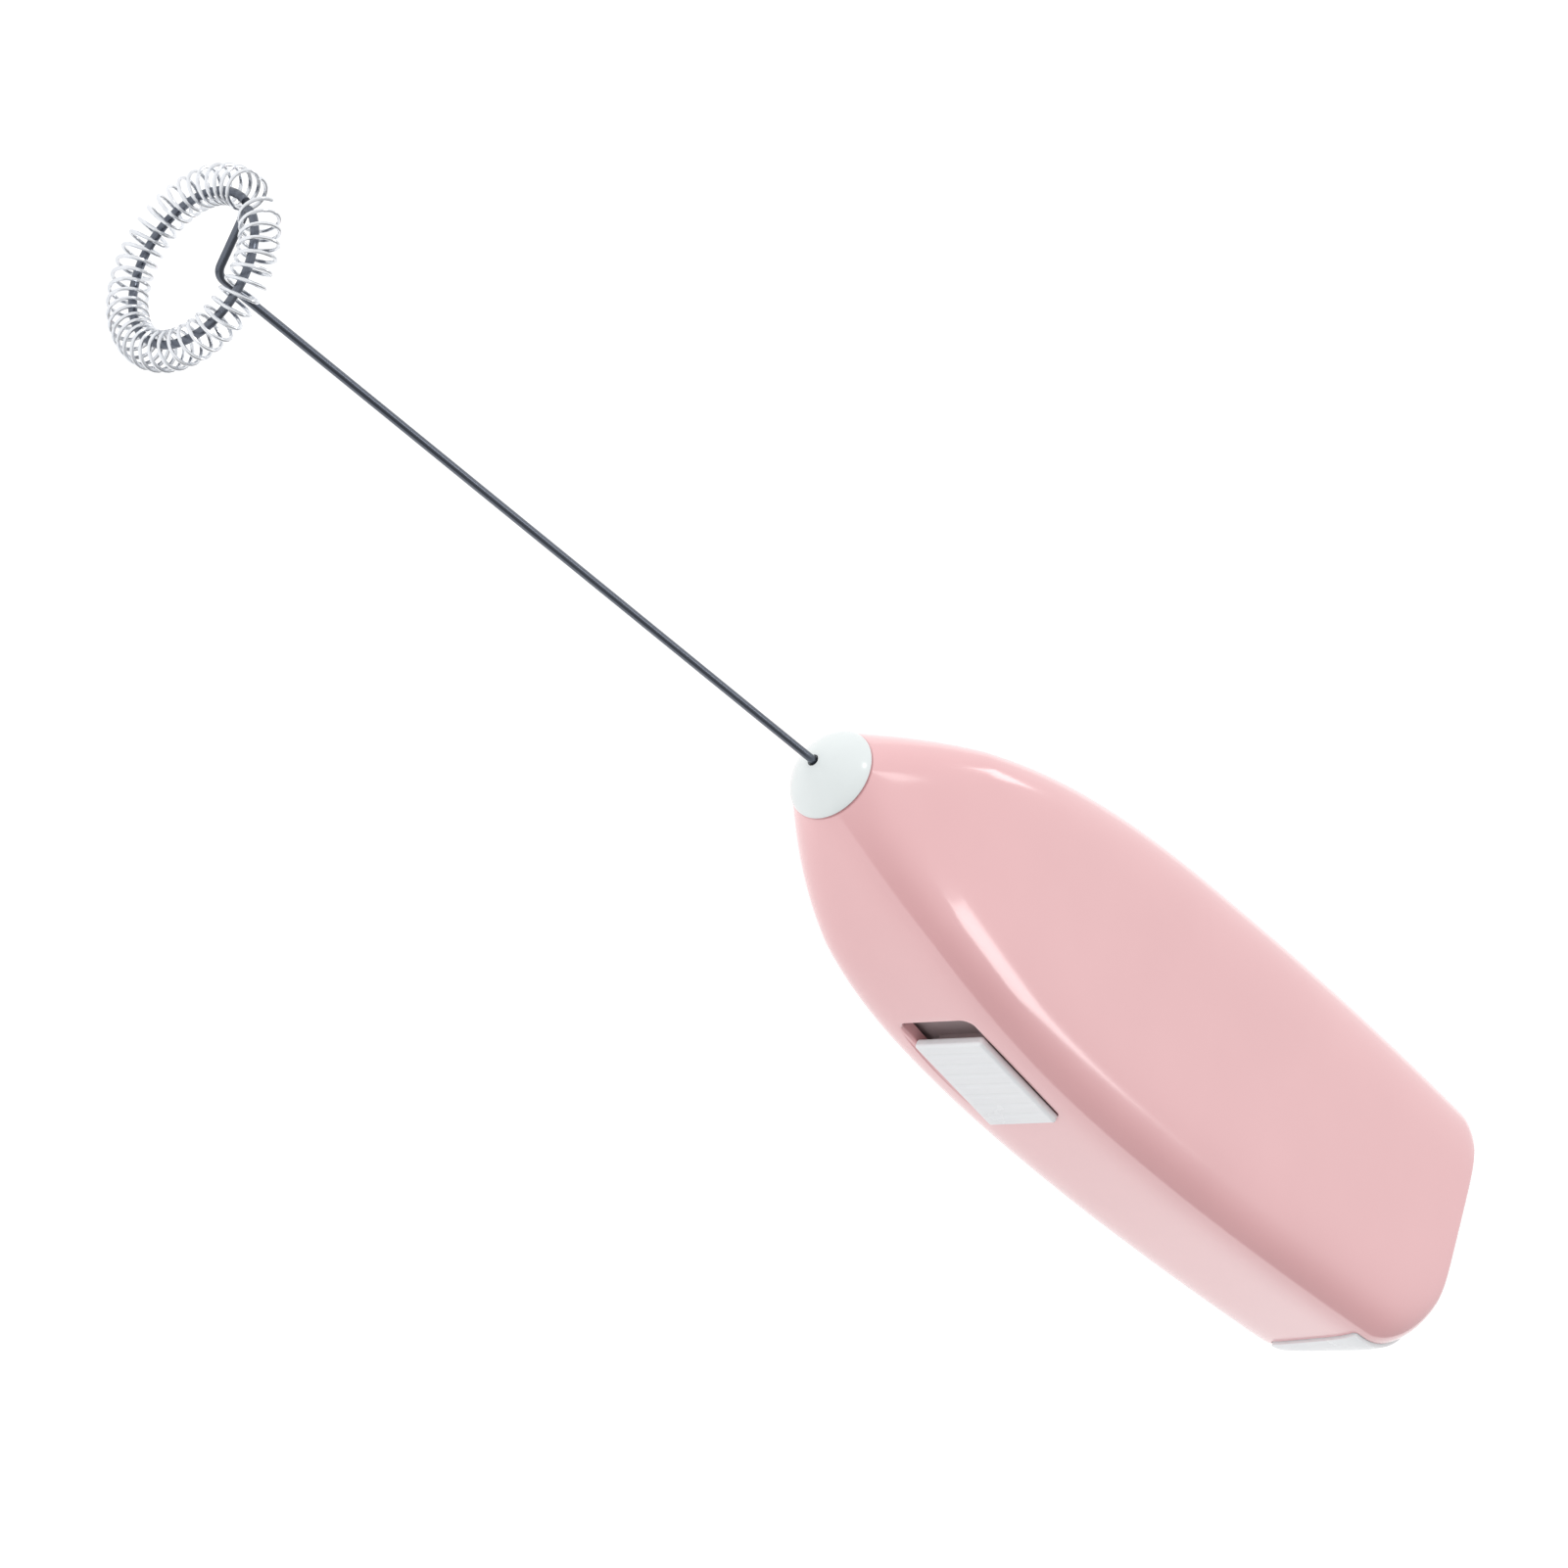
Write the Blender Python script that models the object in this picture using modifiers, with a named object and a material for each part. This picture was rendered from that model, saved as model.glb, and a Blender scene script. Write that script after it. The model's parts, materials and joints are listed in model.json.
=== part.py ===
"""Battery milk frother: a side-switch handle, a bent-wire whisk with a coil ring, and the drive inside.

Frame: metres, +Z up. The frother lies on one wide face, the whisk points to -X, the switch faces -Y.
Lengths along the frother are given as u, the distance from the butt towards the whisk.
"""

import math

import bmesh
import bpy
from mathutils import Matrix, Vector

MM = 0.001

# Overall
HANDLE_LENGTH = 112.8 * MM      # butt to the seam of the nose cap
HANDLE_THICKNESS = 20.2 * MM    # along Z
FRONT_HALF = 18.3 * MM          # shaft axis to the switch face
BACK_HALF = 16.7 * MM           # shaft axis to the back
SHAFT_RISE = 1.3 * MM           # shaft axis above the middle of the thickness
SEAM_RADIUS = 5.15 * MM
WALL = 1.6 * MM
GAP = 0.3 * MM

# Shell form: each half width grows from the seam by 1 - (1 - s / run) ** power
FRONT_RUN = 87.0 * MM
FRONT_POWER = 3.93
BACK_RUN = 59.6 * MM
BACK_POWER = 2.47
THICK_RUN = 33.2 * MM
THICK_POWER = 2.37
RISE_RUN = 30.0 * MM
RISE_POWER = 2.5
SQUARENESS = 5.5                # section exponent along the grip, 2 at the nose
SQUARE_RUN = 16.0 * MM
SQUARE_POWER = 0.9
FLAT_CROWN = 0.08 * MM          # how far the crowned wide face would rise past its flat
FRONT_CORNER = 8.6 * MM
BACK_CORNER = 3.1 * MM
END_CORNER = 0.8 * MM
TAPER_RUN = 50.0 * MM
FRONT_TAPER = 0.086
BACK_TAPER = 0.124

# Nose
CAP_HEIGHT = 3.3 * MM
CAP_BORE = 0.65 * MM
CAP_FULLNESS = 1.35             # profile exponent, 2 would be an ellipse

# Whisk
WIRE_RADIUS = 0.45 * MM
RING_FROM_SEAM = 107.3 * MM
RING_RADIUS = 8.9 * MM
HOOP_RADIUS = 8.2 * MM         # the wire lies against the inside of its coil
ARM_OFFSET = 2.8 * MM           # bend to ring plane, along the shaft
ARM_ANGLE = math.radians(45.0)  # from +Y towards +Z
RING_TILT_SIDE = math.radians(3.8)
RING_TILT_UP = math.radians(-5.6)
RING_SHIFT_Y = -0.8 * MM
RING_SHIFT_Z = -0.4 * MM
COIL_RADIUS = 1.9 * MM
COIL_WIRE = 0.2 * MM
COIL_TURNS = 40
COIL_GAP = math.radians(20.0)

# Switch
SLOT_START = 66.7 * MM
SLOT_END = 85.5 * MM
SLOT_HALF = 4.6 * MM
SLIDER_LENGTH = 15.4 * MM
SLIDER_PROUD = 0.75 * MM
PAD_DEPTH = 0.4 * MM
CARRIAGE_SETBACK = 2.0 * MM     # how far the runner stops short of the pad's whisk end
GROOVES = 7
STRIP = 0.3 * MM
FLANGE_DEPTH = 2.1 * MM         # the sliding flange, wiper, contacts and board, under the face
WIPER_DEPTH = FLANGE_DEPTH + 1.3 * MM
CONTACT_DEPTH = WIPER_DEPTH + 0.6 * MM
BOARD_DEPTH = CONTACT_DEPTH + 0.6 * MM
BOARD_HOLES = ((-6.0 * MM, 1.8 * MM), (4.5 * MM, -1.8 * MM))

# Battery bay
CELL_RADIUS = 7.1 * MM
CELL_LENGTH = 50.5 * MM
CELL_PITCH = 14.5 * MM
BAY_MIDDLE = -0.95 * MM         # middle of the cells, from the shaft axis
BACK_CELL_NUB = 7.0 * MM
FRONT_CELL_NUB = 61.8 * MM
BULKHEAD = 62.7 * MM
SPRING_TURNS = 3
SPRING_WIDE = 4.4 * MM
SPRING_NARROW = 2.8 * MM
SPRING_WIRE = 0.35 * MM
LEAD_RADIUS = 0.55 * MM
LEAD_SPREAD = 4.5 * MM          # the two lead holes behind the cells, each side of the middle
LEAD_HEIGHT = 4.0 * MM
DOOR_PLATE = 3.4 * MM
DOOR_FRONT = 10.2 * MM          # length of front wall given to the door
DOOR_PROUD = 0.35 * MM          # how far the front lip stands out of the wall
DOOR_BACK = 6.5 * MM
DOOR_HALF = 8.1 * MM

# Drive
CAN_RADIUS = 7.75 * MM
CAN_FLAT = 6.1 * MM
CAN_SKIN = 0.5 * MM
CAN_START = 72.6 * MM
CAN_END = 91.1 * MM
BOSS = 2.6 * MM
SCREW_REACH = 4.8 * MM
MOUNT_PLATE = 92.1 * MM
MOTOR_SHAFT = 0.75 * MM
SHAFT_TIP = 102.4 * MM
COUPLING_START = 95.9 * MM
COUPLING_WEB = 102.7 * MM       # the wall between the motor shaft and the whisk shaft
COUPLING_END = 108.9 * MM
COUPLING_RADIUS = 2.0 * MM
WIRE_START = 103.8 * MM
CORE_MIDDLE = 83.0 * MM
CORE_HALF = 3.9 * MM

AXIS_Z = HANDLE_THICKNESS / 2 + SHAFT_RISE
AXIS_Y = 0.8 * MM
BUTT_X = 111.59 * MM


# ---------------------------------------------------------------- scene and materials

def clear():
    for obj in list(bpy.data.objects):
        bpy.data.objects.remove(obj, do_unlink=True)


def collection(name, hidden=False):
    made = bpy.data.collections.new(name)
    bpy.context.scene.collection.children.link(made)
    made.hide_render = hidden
    return made


def material(name, colour, metallic, roughness):
    made = bpy.data.materials.new(name)
    made.use_nodes = True
    shader = made.node_tree.nodes["Principled BSDF"]
    shader.inputs["Base Color"].default_value = (*colour, 1.0)
    shader.inputs["Metallic"].default_value = metallic
    shader.inputs["Roughness"].default_value = roughness
    made.diffuse_color = (*colour, 1.0)
    return made


clear()
PARTS = collection("milk_frother")
CUTTERS = collection("cutters", hidden=True)

PINK_ABS = material("pink_abs", (0.80, 0.50, 0.53), 0.0, 0.22)
WHITE_ABS = material("white_abs", (0.83, 0.84, 0.82), 0.0, 0.30)
NATURAL_ABS = material("natural_abs", (0.70, 0.69, 0.64), 0.0, 0.45)
GREY_ACETAL = material("grey_acetal", (0.40, 0.32, 0.33), 0.0, 0.4)
BLACK_BOARD = material("black_phenolic", (0.03, 0.03, 0.03), 0.0, 0.5)
WHISK_STEEL = material("drawn_steel", (0.45, 0.46, 0.48), 1.0, 0.25)
CAN_STEEL = material("zinc_plated_steel", (0.62, 0.63, 0.65), 1.0, 0.35)
SHAFT_STEEL = material("ground_steel", (0.60, 0.60, 0.62), 1.0, 0.2)
LAMINATION = material("electrical_steel", (0.30, 0.31, 0.33), 1.0, 0.5)
BRONZE = material("sintered_bronze", (0.45, 0.30, 0.14), 1.0, 0.5)
BRASS = material("brass_strip", (0.70, 0.52, 0.24), 1.0, 0.3)
COPPER = material("enamelled_copper", (0.55, 0.22, 0.10), 1.0, 0.3)
NICKEL = material("nickel_plate", (0.66, 0.64, 0.60), 1.0, 0.25)
FERRITE = material("ferrite_magnet", (0.06, 0.06, 0.065), 0.0, 0.7)
RUBBER = material("black_rubber", (0.02, 0.02, 0.02), 0.0, 0.8)
PVC_RED = material("red_pvc", (0.50, 0.02, 0.02), 0.0, 0.45)
PVC_BLACK = material("black_pvc", (0.02, 0.02, 0.02), 0.0, 0.45)
CELL_JACKET = material("battery_jacket", (0.05, 0.12, 0.09), 0.0, 0.3)


# ---------------------------------------------------------------- helpers

SHAFT_FRAME = Matrix.Translation((BUTT_X, AXIS_Y, AXIS_Z))


def at(u, y, z):
    """A point from its distance up the frother and its offsets from the shaft axis."""
    return Vector((BUTT_X - u, AXIS_Y + y, AXIS_Z + z))


def link(name, data, finish, cutter=False):
    obj = bpy.data.objects.new(name, data)
    (CUTTERS if cutter else PARTS).objects.link(obj)
    if cutter:
        obj.hide_render = True
        obj.display_type = "WIRE"
    else:
        data.materials.append(finish)
    return obj


def mesh_object(name, bm, finish, cutter=False, smooth=False):
    bmesh.ops.recalc_face_normals(bm, faces=bm.faces)
    for face in bm.faces:
        face.smooth = smooth
    data = bpy.data.meshes.new(name)
    bm.to_mesh(data)
    bm.free()
    return link(name, data, finish, cutter)


def bevel(obj, width, segments=2):
    mod = obj.modifiers.new("edge", "BEVEL")
    mod.width = width
    mod.segments = segments
    mod.limit_method = "ANGLE"
    mod.angle_limit = math.radians(40.0)
    return obj


def boolean(obj, other, operation="DIFFERENCE"):
    mod = obj.modifiers.new("bool", "BOOLEAN")
    mod.operation = operation
    mod.solver = "EXACT"
    mod.object = other
    return obj


def box(name, u, y, z, finish=None, cutter=False, frame=None):
    """A block from its ranges in a frame: u runs to local -X, y and z are as they are."""
    bm = bmesh.new()
    low = Vector((-u[1], y[0], z[0]))
    high = Vector((-u[0], y[1], z[1]))
    bmesh.ops.create_cube(bm, size=1.0)
    bmesh.ops.scale(bm, vec=high - low, verts=bm.verts)
    bmesh.ops.translate(bm, vec=(low + high) / 2, verts=bm.verts)
    obj = mesh_object(name, bm, finish, cutter)
    obj.matrix_world = frame or SHAFT_FRAME
    return obj


def peg(name, start, end, radius, finish=None, cutter=False, segments=16):
    """A round bar between two points."""
    bm = bmesh.new()
    run = end - start
    turn = run.to_track_quat("Z", "Y").to_matrix().to_4x4()
    place = Matrix.Translation((start + end) / 2) @ turn
    bmesh.ops.create_cone(
        bm, cap_ends=True, segments=segments, radius1=radius, radius2=radius,
        depth=run.length, matrix=place,
    )
    return mesh_object(name, bm, finish, cutter)


def turned(name, profile, finish, y=0.0, z=0.0, steps=32, closed=False):
    """A turned piece on an axis along the frother: profile points are (radius, u)."""
    bm = bmesh.new()
    verts = [bm.verts.new((r, 0.0, u)) for r, u in profile]
    for a, b in zip(verts, verts[1:]):
        bm.edges.new((a, b))
    if closed:
        bm.edges.new((verts[-1], verts[0]))
    data = bpy.data.meshes.new(name)
    bm.to_mesh(data)
    bm.free()
    obj = link(name, data, finish)
    obj.location = at(0.0, y, z)
    obj.rotation_euler = (0.0, math.radians(-90.0), 0.0)
    mod = obj.modifiers.new("turn", "SCREW")
    mod.axis = "Z"
    mod.steps = steps
    mod.render_steps = steps
    mod.use_merge_vertices = True
    mod.merge_threshold = 0.00001
    mod.use_smooth_shade = True
    return obj


def tube(name, inner, outer, start, end, finish, steps=24):
    loop = [(inner, end), (outer, end), (outer, start), (inner, start)]
    return turned(name, loop, finish, steps=steps, closed=True)


def loft(name, rings, finish=None, cutter=False, closed=False, smooth=True):
    """A skin through rings of equal point count, capped, or closed into a sleeve."""
    bm = bmesh.new()
    rows = [[bm.verts.new(p) for p in ring] for ring in rings]
    count = len(rows[0])
    pairs = list(zip(rows, rows[1:]))
    if closed:
        pairs.append((rows[-1], rows[0]))
    for low, high in pairs:
        for i in range(count):
            j = (i + 1) % count
            bm.faces.new((low[i], low[j], high[j], high[i]))
    if not closed:
        bm.faces.new(list(reversed(rows[0])))
        bm.faces.new(rows[-1])
    return mesh_object(name, bm, finish, cutter, smooth)


def wire(name, points, radius, finish, resolution=1):
    """A round wire through the points, with closed ends."""
    data = bpy.data.curves.new(name, "CURVE")
    data.dimensions = "3D"
    data.bevel_depth = radius
    data.bevel_resolution = resolution
    data.use_fill_caps = True
    spline = data.splines.new("POLY")
    spline.points.add(len(points) - 1)
    for point, co in zip(spline.points, points):
        point.co = (*co, 1.0)
    spline.use_smooth = True
    return link(name, data, finish)


def rounded_path(corners, radius, steps=5):
    """A path through corners with each inner corner turned on an arc-like curve."""
    path = [Vector(corners[0])]
    for before, corner, after in zip(corners, corners[1:], corners[2:]):
        corner = Vector(corner)
        back = Vector(before) - corner
        on = Vector(after) - corner
        reach = min(radius, back.length * 0.45, on.length * 0.45)
        a = corner + back.normalized() * reach
        b = corner + on.normalized() * reach
        for k in range(steps + 1):
            t = k / steps
            path.append(a * (1 - t) ** 2 + corner * 2 * t * (1 - t) + b * t ** 2)
    path.append(Vector(corners[-1]))
    return path


# ---------------------------------------------------------------- handle form

def grown(s, run, power, full):
    """Half width at s from the seam: the seam radius growing to its full size."""
    left = 1.0 - min(max(s / run, 0.0), 1.0)
    return SEAM_RADIUS + (full - SEAM_RADIUS) * (1.0 - left ** power)


def rounding(u, radius):
    """How much a corner of this radius takes off a side at u from the butt."""
    if u >= radius:
        return 0.0
    return radius - math.sqrt(max(radius ** 2 - (radius - u) ** 2, 0.0))


def section(u, inset=0.0, count=56):
    """The handle's section at u, as points, each side moved in by inset."""
    s = HANDLE_LENGTH - u
    butt = 1.0 - min(u / TAPER_RUN, 1.0)
    front = grown(s, FRONT_RUN, FRONT_POWER, FRONT_HALF) * (1 - FRONT_TAPER * butt ** 2)
    back = grown(s, BACK_RUN, BACK_POWER, BACK_HALF) * (1 - BACK_TAPER * butt ** 2)
    end = rounding(u, END_CORNER) + inset
    thick = grown(s, THICK_RUN, THICK_POWER, HANDLE_THICKNESS / 2 + FLAT_CROWN) - end
    front = front - rounding(u, FRONT_CORNER) - inset
    back = back - rounding(u, BACK_CORNER) - inset
    limit = HANDLE_THICKNESS / 2 - end
    centre = -SHAFT_RISE * (1.0 - (1.0 - min(s / RISE_RUN, 1.0)) ** RISE_POWER)
    power = 2.0 + (SQUARENESS - 2.0) * min(max(s / SQUARE_RUN, 0.0), 1.0) ** SQUARE_POWER
    points = []
    for i in range(count):
        angle = 2 * math.pi * (i + 0.5) / count
        c, h = math.cos(angle), math.sin(angle)
        side = back if c > 0 else front
        y = math.copysign(abs(c) ** (2 / power), c) * side
        z = math.copysign(abs(h) ** (2 / power), h) * thick
        points.append(at(u, y, centre + max(min(z, limit), -limit)))
    return points


def grip_stations(start, end):
    """Stations along the handle, closer where the form turns."""
    picks = [0.3, 0.9, 1.9, 3.2, 5.0, 7.0, 9.0, 15.0, 28.0, 42.0, 56.0, 67.0, 76.0, 84.0, 90.0,
             95.0, 99.0, 102.5, 105.4, 107.8, 109.6, 111.1, 112.2]
    return [p * MM for p in picks if start < p * MM < end]


def plug(name, start, end, inset, finish=None, cutter=False, count=40):
    """A solid slice of the handle's form, moved in by inset."""
    stations = [start, *grip_stations(start, end), end]
    return loft(name, [section(u, inset, count) for u in stations], finish, cutter)


# ---------------------------------------------------------------- handle pieces

def outer_shell():
    stations = [0.0, *grip_stations(0.0, HANDLE_LENGTH), HANDLE_LENGTH]
    outer = [section(u) for u in stations]
    inner = [section(u, WALL) for u in reversed(stations)]
    shell = loft("outer_shell", outer + inner, PINK_ABS, closed=True)
    slot = box("slot_cutter", (-SLOT_REACH, SLOT_REACH), (-3 * MM, 3.5 * MM), (-SLOT_HALF, SLOT_HALF),
               cutter=True, frame=SWITCH_FRAME)
    boolean(shell, bevel(slot, 0.8 * MM, 3))
    for name, u_range, y_range in door_openings(0.0):
        cutter = box(f"{name}_cutter", u_range, y_range, door_width(0.0), cutter=True)
        boolean(shell, cutter)
    return shell


def door_width(gap):
    return (gap - DOOR_HALF - SHAFT_RISE, DOOR_HALF - gap - SHAFT_RISE)


def door_openings(gap):
    """The two edges of the handle given to the door, as ranges of u and y, moved in by gap."""
    return (
        ("front_edge", (-2 * MM, DOOR_FRONT - gap), (-FRONT_HALF - 3 * MM, -5 * MM - gap)),
        ("back_edge", (-2 * MM, DOOR_BACK - gap), (9.4 * MM + gap, BACK_HALF + 3 * MM)),
    )


def nose_cap():
    base = HANDLE_LENGTH + 0.2 * MM
    dome = []
    steps = 10
    for k in range(steps + 1):
        turn = math.pi / 2 * k / steps
        radius = CAP_BORE + (SEAM_RADIUS - CAP_BORE) * math.sin(turn) ** (2 / CAP_FULLNESS)
        height = CAP_HEIGHT * max(math.cos(turn), 0.0) ** (2 / CAP_FULLNESS)
        dome.append((radius, base + height))
    neck = SEAM_RADIUS - WALL - GAP
    bore = neck - 0.7 * MM
    dome += [
        (neck, base), (neck, base - 2.4 * MM), (bore, base - 2.4 * MM), (bore, base - 0.3 * MM),
        (CAP_BORE, base - 0.3 * MM),
    ]
    return turned("nose_cap", dome, WHITE_ABS, steps=40, closed=True)


def shaft_seal():
    return tube("shaft_seal", 0.8 * MM, 2.2 * MM, HANDLE_LENGTH - 1.9 * MM, HANDLE_LENGTH - 0.5 * MM,
                RUBBER)


def battery_door():
    door = plug("battery_door", 0.5 * MM, DOOR_PLATE, WALL + GAP, WHITE_ABS)
    for name, u_range, y_range in door_openings(GAP):
        inset = -DOOR_PROUD if name == "front_edge" else 0.05 * MM
        lip = plug(f"{name}_lip", 0.0, 12.0 * MM, inset, cutter=True)
        stencil = box(f"{name}_stencil", u_range, y_range, door_width(GAP), cutter=True)
        boolean(lip, stencil, "INTERSECT")
        inside = plug(f"{name}_inside", DOOR_PLATE - 0.4 * MM, 14.0 * MM, WALL + 0.2 * MM, cutter=True)
        boolean(lip, inside)
        boolean(door, lip, "UNION")
    post = box("post_union", (3.0 * MM, BACK_CELL_NUB - 1.0 * MM),
               (BAY_MIDDLE - 6 * MM, BAY_MIDDLE + 6 * MM), (-5.3 * MM, 2.7 * MM), cutter=True)
    boolean(door, post, "UNION")
    return door


def chassis():
    """Inner frame: the wall behind the cells, the wall in front of the motor, the floor between."""
    frame = plug("chassis", BULKHEAD, BULKHEAD + 2 * MM, WALL + GAP, NATURAL_ABS)
    mount = plug("mount_union", MOUNT_PLATE, MOUNT_PLATE + 1.8 * MM, WALL + GAP, cutter=True)
    boolean(frame, mount, "UNION")
    wall = BULKHEAD / MM + 1.0
    plate = MOUNT_PLATE / MM + 1.0
    unions = (
        ("floor", (14.0, wall), (-7.0, 5.5), (-9.4, -8.7)),
        ("rib", (14.0, wall), (-1.7, -0.2), (-9.0, -6.3)),
        ("back_rail", (wall, plate), (8.4, 9.8), (-5.5, 3.5)),
        ("low_rail", (wall, plate), (-9.2, -7.4), (-8.6, -6.7)),
    )
    for name, *ranges in unions:
        u, y, z = [(low * MM, high * MM) for low, high in ranges]
        boolean(frame, box(f"{name}_union", u, y, z, cutter=True), "UNION")
    start, end = MOUNT_PLATE - 1 * MM, MOUNT_PLATE + 3 * MM
    boss = peg("boss_cutter", at(start, 0, 0), at(end, 0, 0), BOSS + GAP, cutter=True, segments=24)
    boolean(frame, boss)
    for i, side in enumerate((-1, 1)):
        y = side * SCREW_REACH
        hole = peg(f"mount_hole_{i}", at(start, y, 0), at(end, y, 0), 1.2 * MM, cutter=True)
        boolean(frame, hole)
        y = BAY_MIDDLE + side * LEAD_SPREAD
        hole = peg(f"lead_hole_{i}", at(BULKHEAD - 1 * MM, y, LEAD_HEIGHT),
                   at(BULKHEAD + 3 * MM, y, LEAD_HEIGHT), 1.2 * MM, cutter=True)
        boolean(frame, hole)
    return frame


# ---------------------------------------------------------------- switch

def front_at(u):
    """Distance from the shaft axis to the switch face at u."""
    return grown(HANDLE_LENGTH - u, FRONT_RUN, FRONT_POWER, FRONT_HALF)


def switch_frame():
    """The switch's own frame: origin on the face at mid slot, -X along the slide, +Y inwards."""
    rise = front_at(SLOT_START) - front_at(SLOT_END)
    slope = math.atan2(rise, SLOT_END - SLOT_START)
    middle = (SLOT_START + SLOT_END) / 2
    face = (front_at(SLOT_START) + front_at(SLOT_END)) / 2
    return Matrix.Translation(at(middle, -face, -SHAFT_RISE)) @ Matrix.Rotation(-slope, 4, "Z")


SWITCH_FRAME = switch_frame()
SLOT_REACH = (SLOT_END - SLOT_START) / 2


def switch_at(u, depth, z):
    """A point from its distance past mid slot, its depth under the face, and z."""
    return SWITCH_FRAME @ Vector((-u, depth, z))


def switch_slider():
    start = GAP - SLOT_REACH
    end = start + SLIDER_LENGTH
    half = SLOT_HALF - GAP
    pad = box("switch_slider", (start, end), (-SLIDER_PROUD, PAD_DEPTH), (-half, half), WHITE_ABS,
              frame=SWITCH_FRAME)
    bevel(pad, 0.3 * MM, 2)
    pitch = SLIDER_LENGTH / (GROOVES + 1)
    for i in range(GROOVES):
        u = start + pitch * (i + 1)
        groove = box(
            f"groove_{i}", (u - 0.25 * MM, u + 0.25 * MM), (-SLIDER_PROUD - 1 * MM, 0.3 * MM - SLIDER_PROUD),
            (-half + 0.7 * MM, half - 0.7 * MM), cutter=True, frame=SWITCH_FRAME,
        )
        boolean(pad, groove)
    return pad


def switch_carriage():
    """The runner under the pad, with a flange that keeps it behind the wall."""
    start = GAP - SLOT_REACH
    end = start + SLIDER_LENGTH
    half = SLOT_HALF - GAP
    top = PAD_DEPTH + GAP
    runner = box("switch_carriage", (start + 0.8 * MM, end - CARRIAGE_SETBACK),
                 (top, FLANGE_DEPTH + 0.5 * MM), (0.8 * MM - half, half - 0.8 * MM), GREY_ACETAL,
                 frame=SWITCH_FRAME)
    flange = box("flange_union", (start, end), (FLANGE_DEPTH, FLANGE_DEPTH + 1.0 * MM),
                 (-half - 1.3 * MM, half + 1.3 * MM), cutter=True, frame=SWITCH_FRAME)
    boolean(runner, flange, "UNION")
    return runner


def switch_works():
    start = GAP - SLOT_REACH
    strips = (
        ("switch_wiper", (start + 3.2 * MM, start + 7.8 * MM), WIPER_DEPTH, 2 * MM),
        ("switch_contact_1", (-9 * MM, -2 * MM), CONTACT_DEPTH, 3 * MM),
        ("switch_contact_2", (0.5 * MM, 8.5 * MM), CONTACT_DEPTH, 3 * MM),
    )
    for name, reach, depth, half in strips:
        box(name, reach, (depth, depth + STRIP), (-half, half), BRASS, frame=SWITCH_FRAME)
    board = box("switch_board", (-9.4 * MM, 9.4 * MM), (BOARD_DEPTH, BOARD_DEPTH + 1.1 * MM),
                (-5 * MM, 5 * MM), BLACK_BOARD, frame=SWITCH_FRAME)
    for i, (u, z) in enumerate(BOARD_HOLES):
        hole = peg(f"board_hole_{i}", switch_at(u, 0, z), switch_at(u, 9 * MM, z), 1.0 * MM, cutter=True)
        boolean(board, hole)


# ---------------------------------------------------------------- motor

def double_d(u, radius, flat, count=40):
    """A round outline with a flat above and below, at u."""
    points = []
    for i in range(count):
        angle = 2 * math.pi * (i + 0.5) / count
        z = max(min(radius * math.sin(angle), flat), -flat)
        points.append(at(u, radius * math.cos(angle), z))
    return points


def circle(u, radius):
    return double_d(u, radius, radius)


def motor_case():
    inner, inner_flat = CAN_RADIUS - CAN_SKIN, CAN_FLAT - CAN_SKIN
    rings = [
        double_d(CAN_START, CAN_RADIUS, CAN_FLAT),
        double_d(CAN_END, CAN_RADIUS, CAN_FLAT),
        circle(CAN_END, BOSS),
        circle(CAN_END - CAN_SKIN, BOSS),
        double_d(CAN_END - CAN_SKIN, inner, inner_flat),
        double_d(CAN_START, inner, inner_flat),
    ]
    can = loft("motor_can", rings, CAN_STEEL, closed=True, smooth=False)
    for i, side in enumerate((-1, 1)):
        y = side * SCREW_REACH
        hole = peg(f"can_hole_{i}", at(CAN_END - 2 * MM, y, 0), at(CAN_END + 1 * MM, y, 0), 1.2 * MM,
                   cutter=True)
        boolean(can, hole)
    inset = CAN_SKIN + GAP
    rim = CAN_START - GAP
    back, deep = CAN_START - 3 * MM, CAN_START + 1.2 * MM
    rings = [
        double_d(back, CAN_RADIUS, CAN_FLAT),
        double_d(rim, CAN_RADIUS, CAN_FLAT),
        double_d(rim, CAN_RADIUS - inset, CAN_FLAT - inset),
        double_d(deep, CAN_RADIUS - inset, CAN_FLAT - inset),
        circle(deep, BOSS),
        circle(back, BOSS),
    ]
    loft("motor_end_bell", rings, WHITE_ABS, closed=True, smooth=False)
    for name, start, end in (
        ("front_bushing", CAN_END - 1.4 * MM, MOUNT_PLATE + 2.2 * MM),
        ("rear_bushing", back + 0.2 * MM, deep - 0.2 * MM),
    ):
        tube(name, MOTOR_SHAFT + 0.1 * MM, BOSS - GAP, start, end, BRONZE)


def magnet(name, side):
    """A ferrite arc against one round side of the can."""
    rows = []
    low, high = 5.0 * MM, CAN_RADIUS - CAN_SKIN - GAP
    spread = math.radians(36)
    steps = 8
    for u in (CORE_MIDDLE - 6.2 * MM, CORE_MIDDLE + 6.0 * MM):
        turns = [spread * (2 * k / steps - 1) for k in range(steps + 1)]
        ring = [at(u, side * high * math.cos(a), high * math.sin(a)) for a in turns]
        ring += [at(u, side * low * math.cos(a), low * math.sin(a)) for a in reversed(turns)]
        rows.append(ring)
    return loft(name, rows, FERRITE, smooth=False)


def arc(radius, start, end, steps):
    """Points on an arc about the shaft, as pairs."""
    turns = [start + (end - start) * k / steps for k in range(steps + 1)]
    return [(radius * math.cos(a), radius * math.sin(a)) for a in turns]


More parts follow.
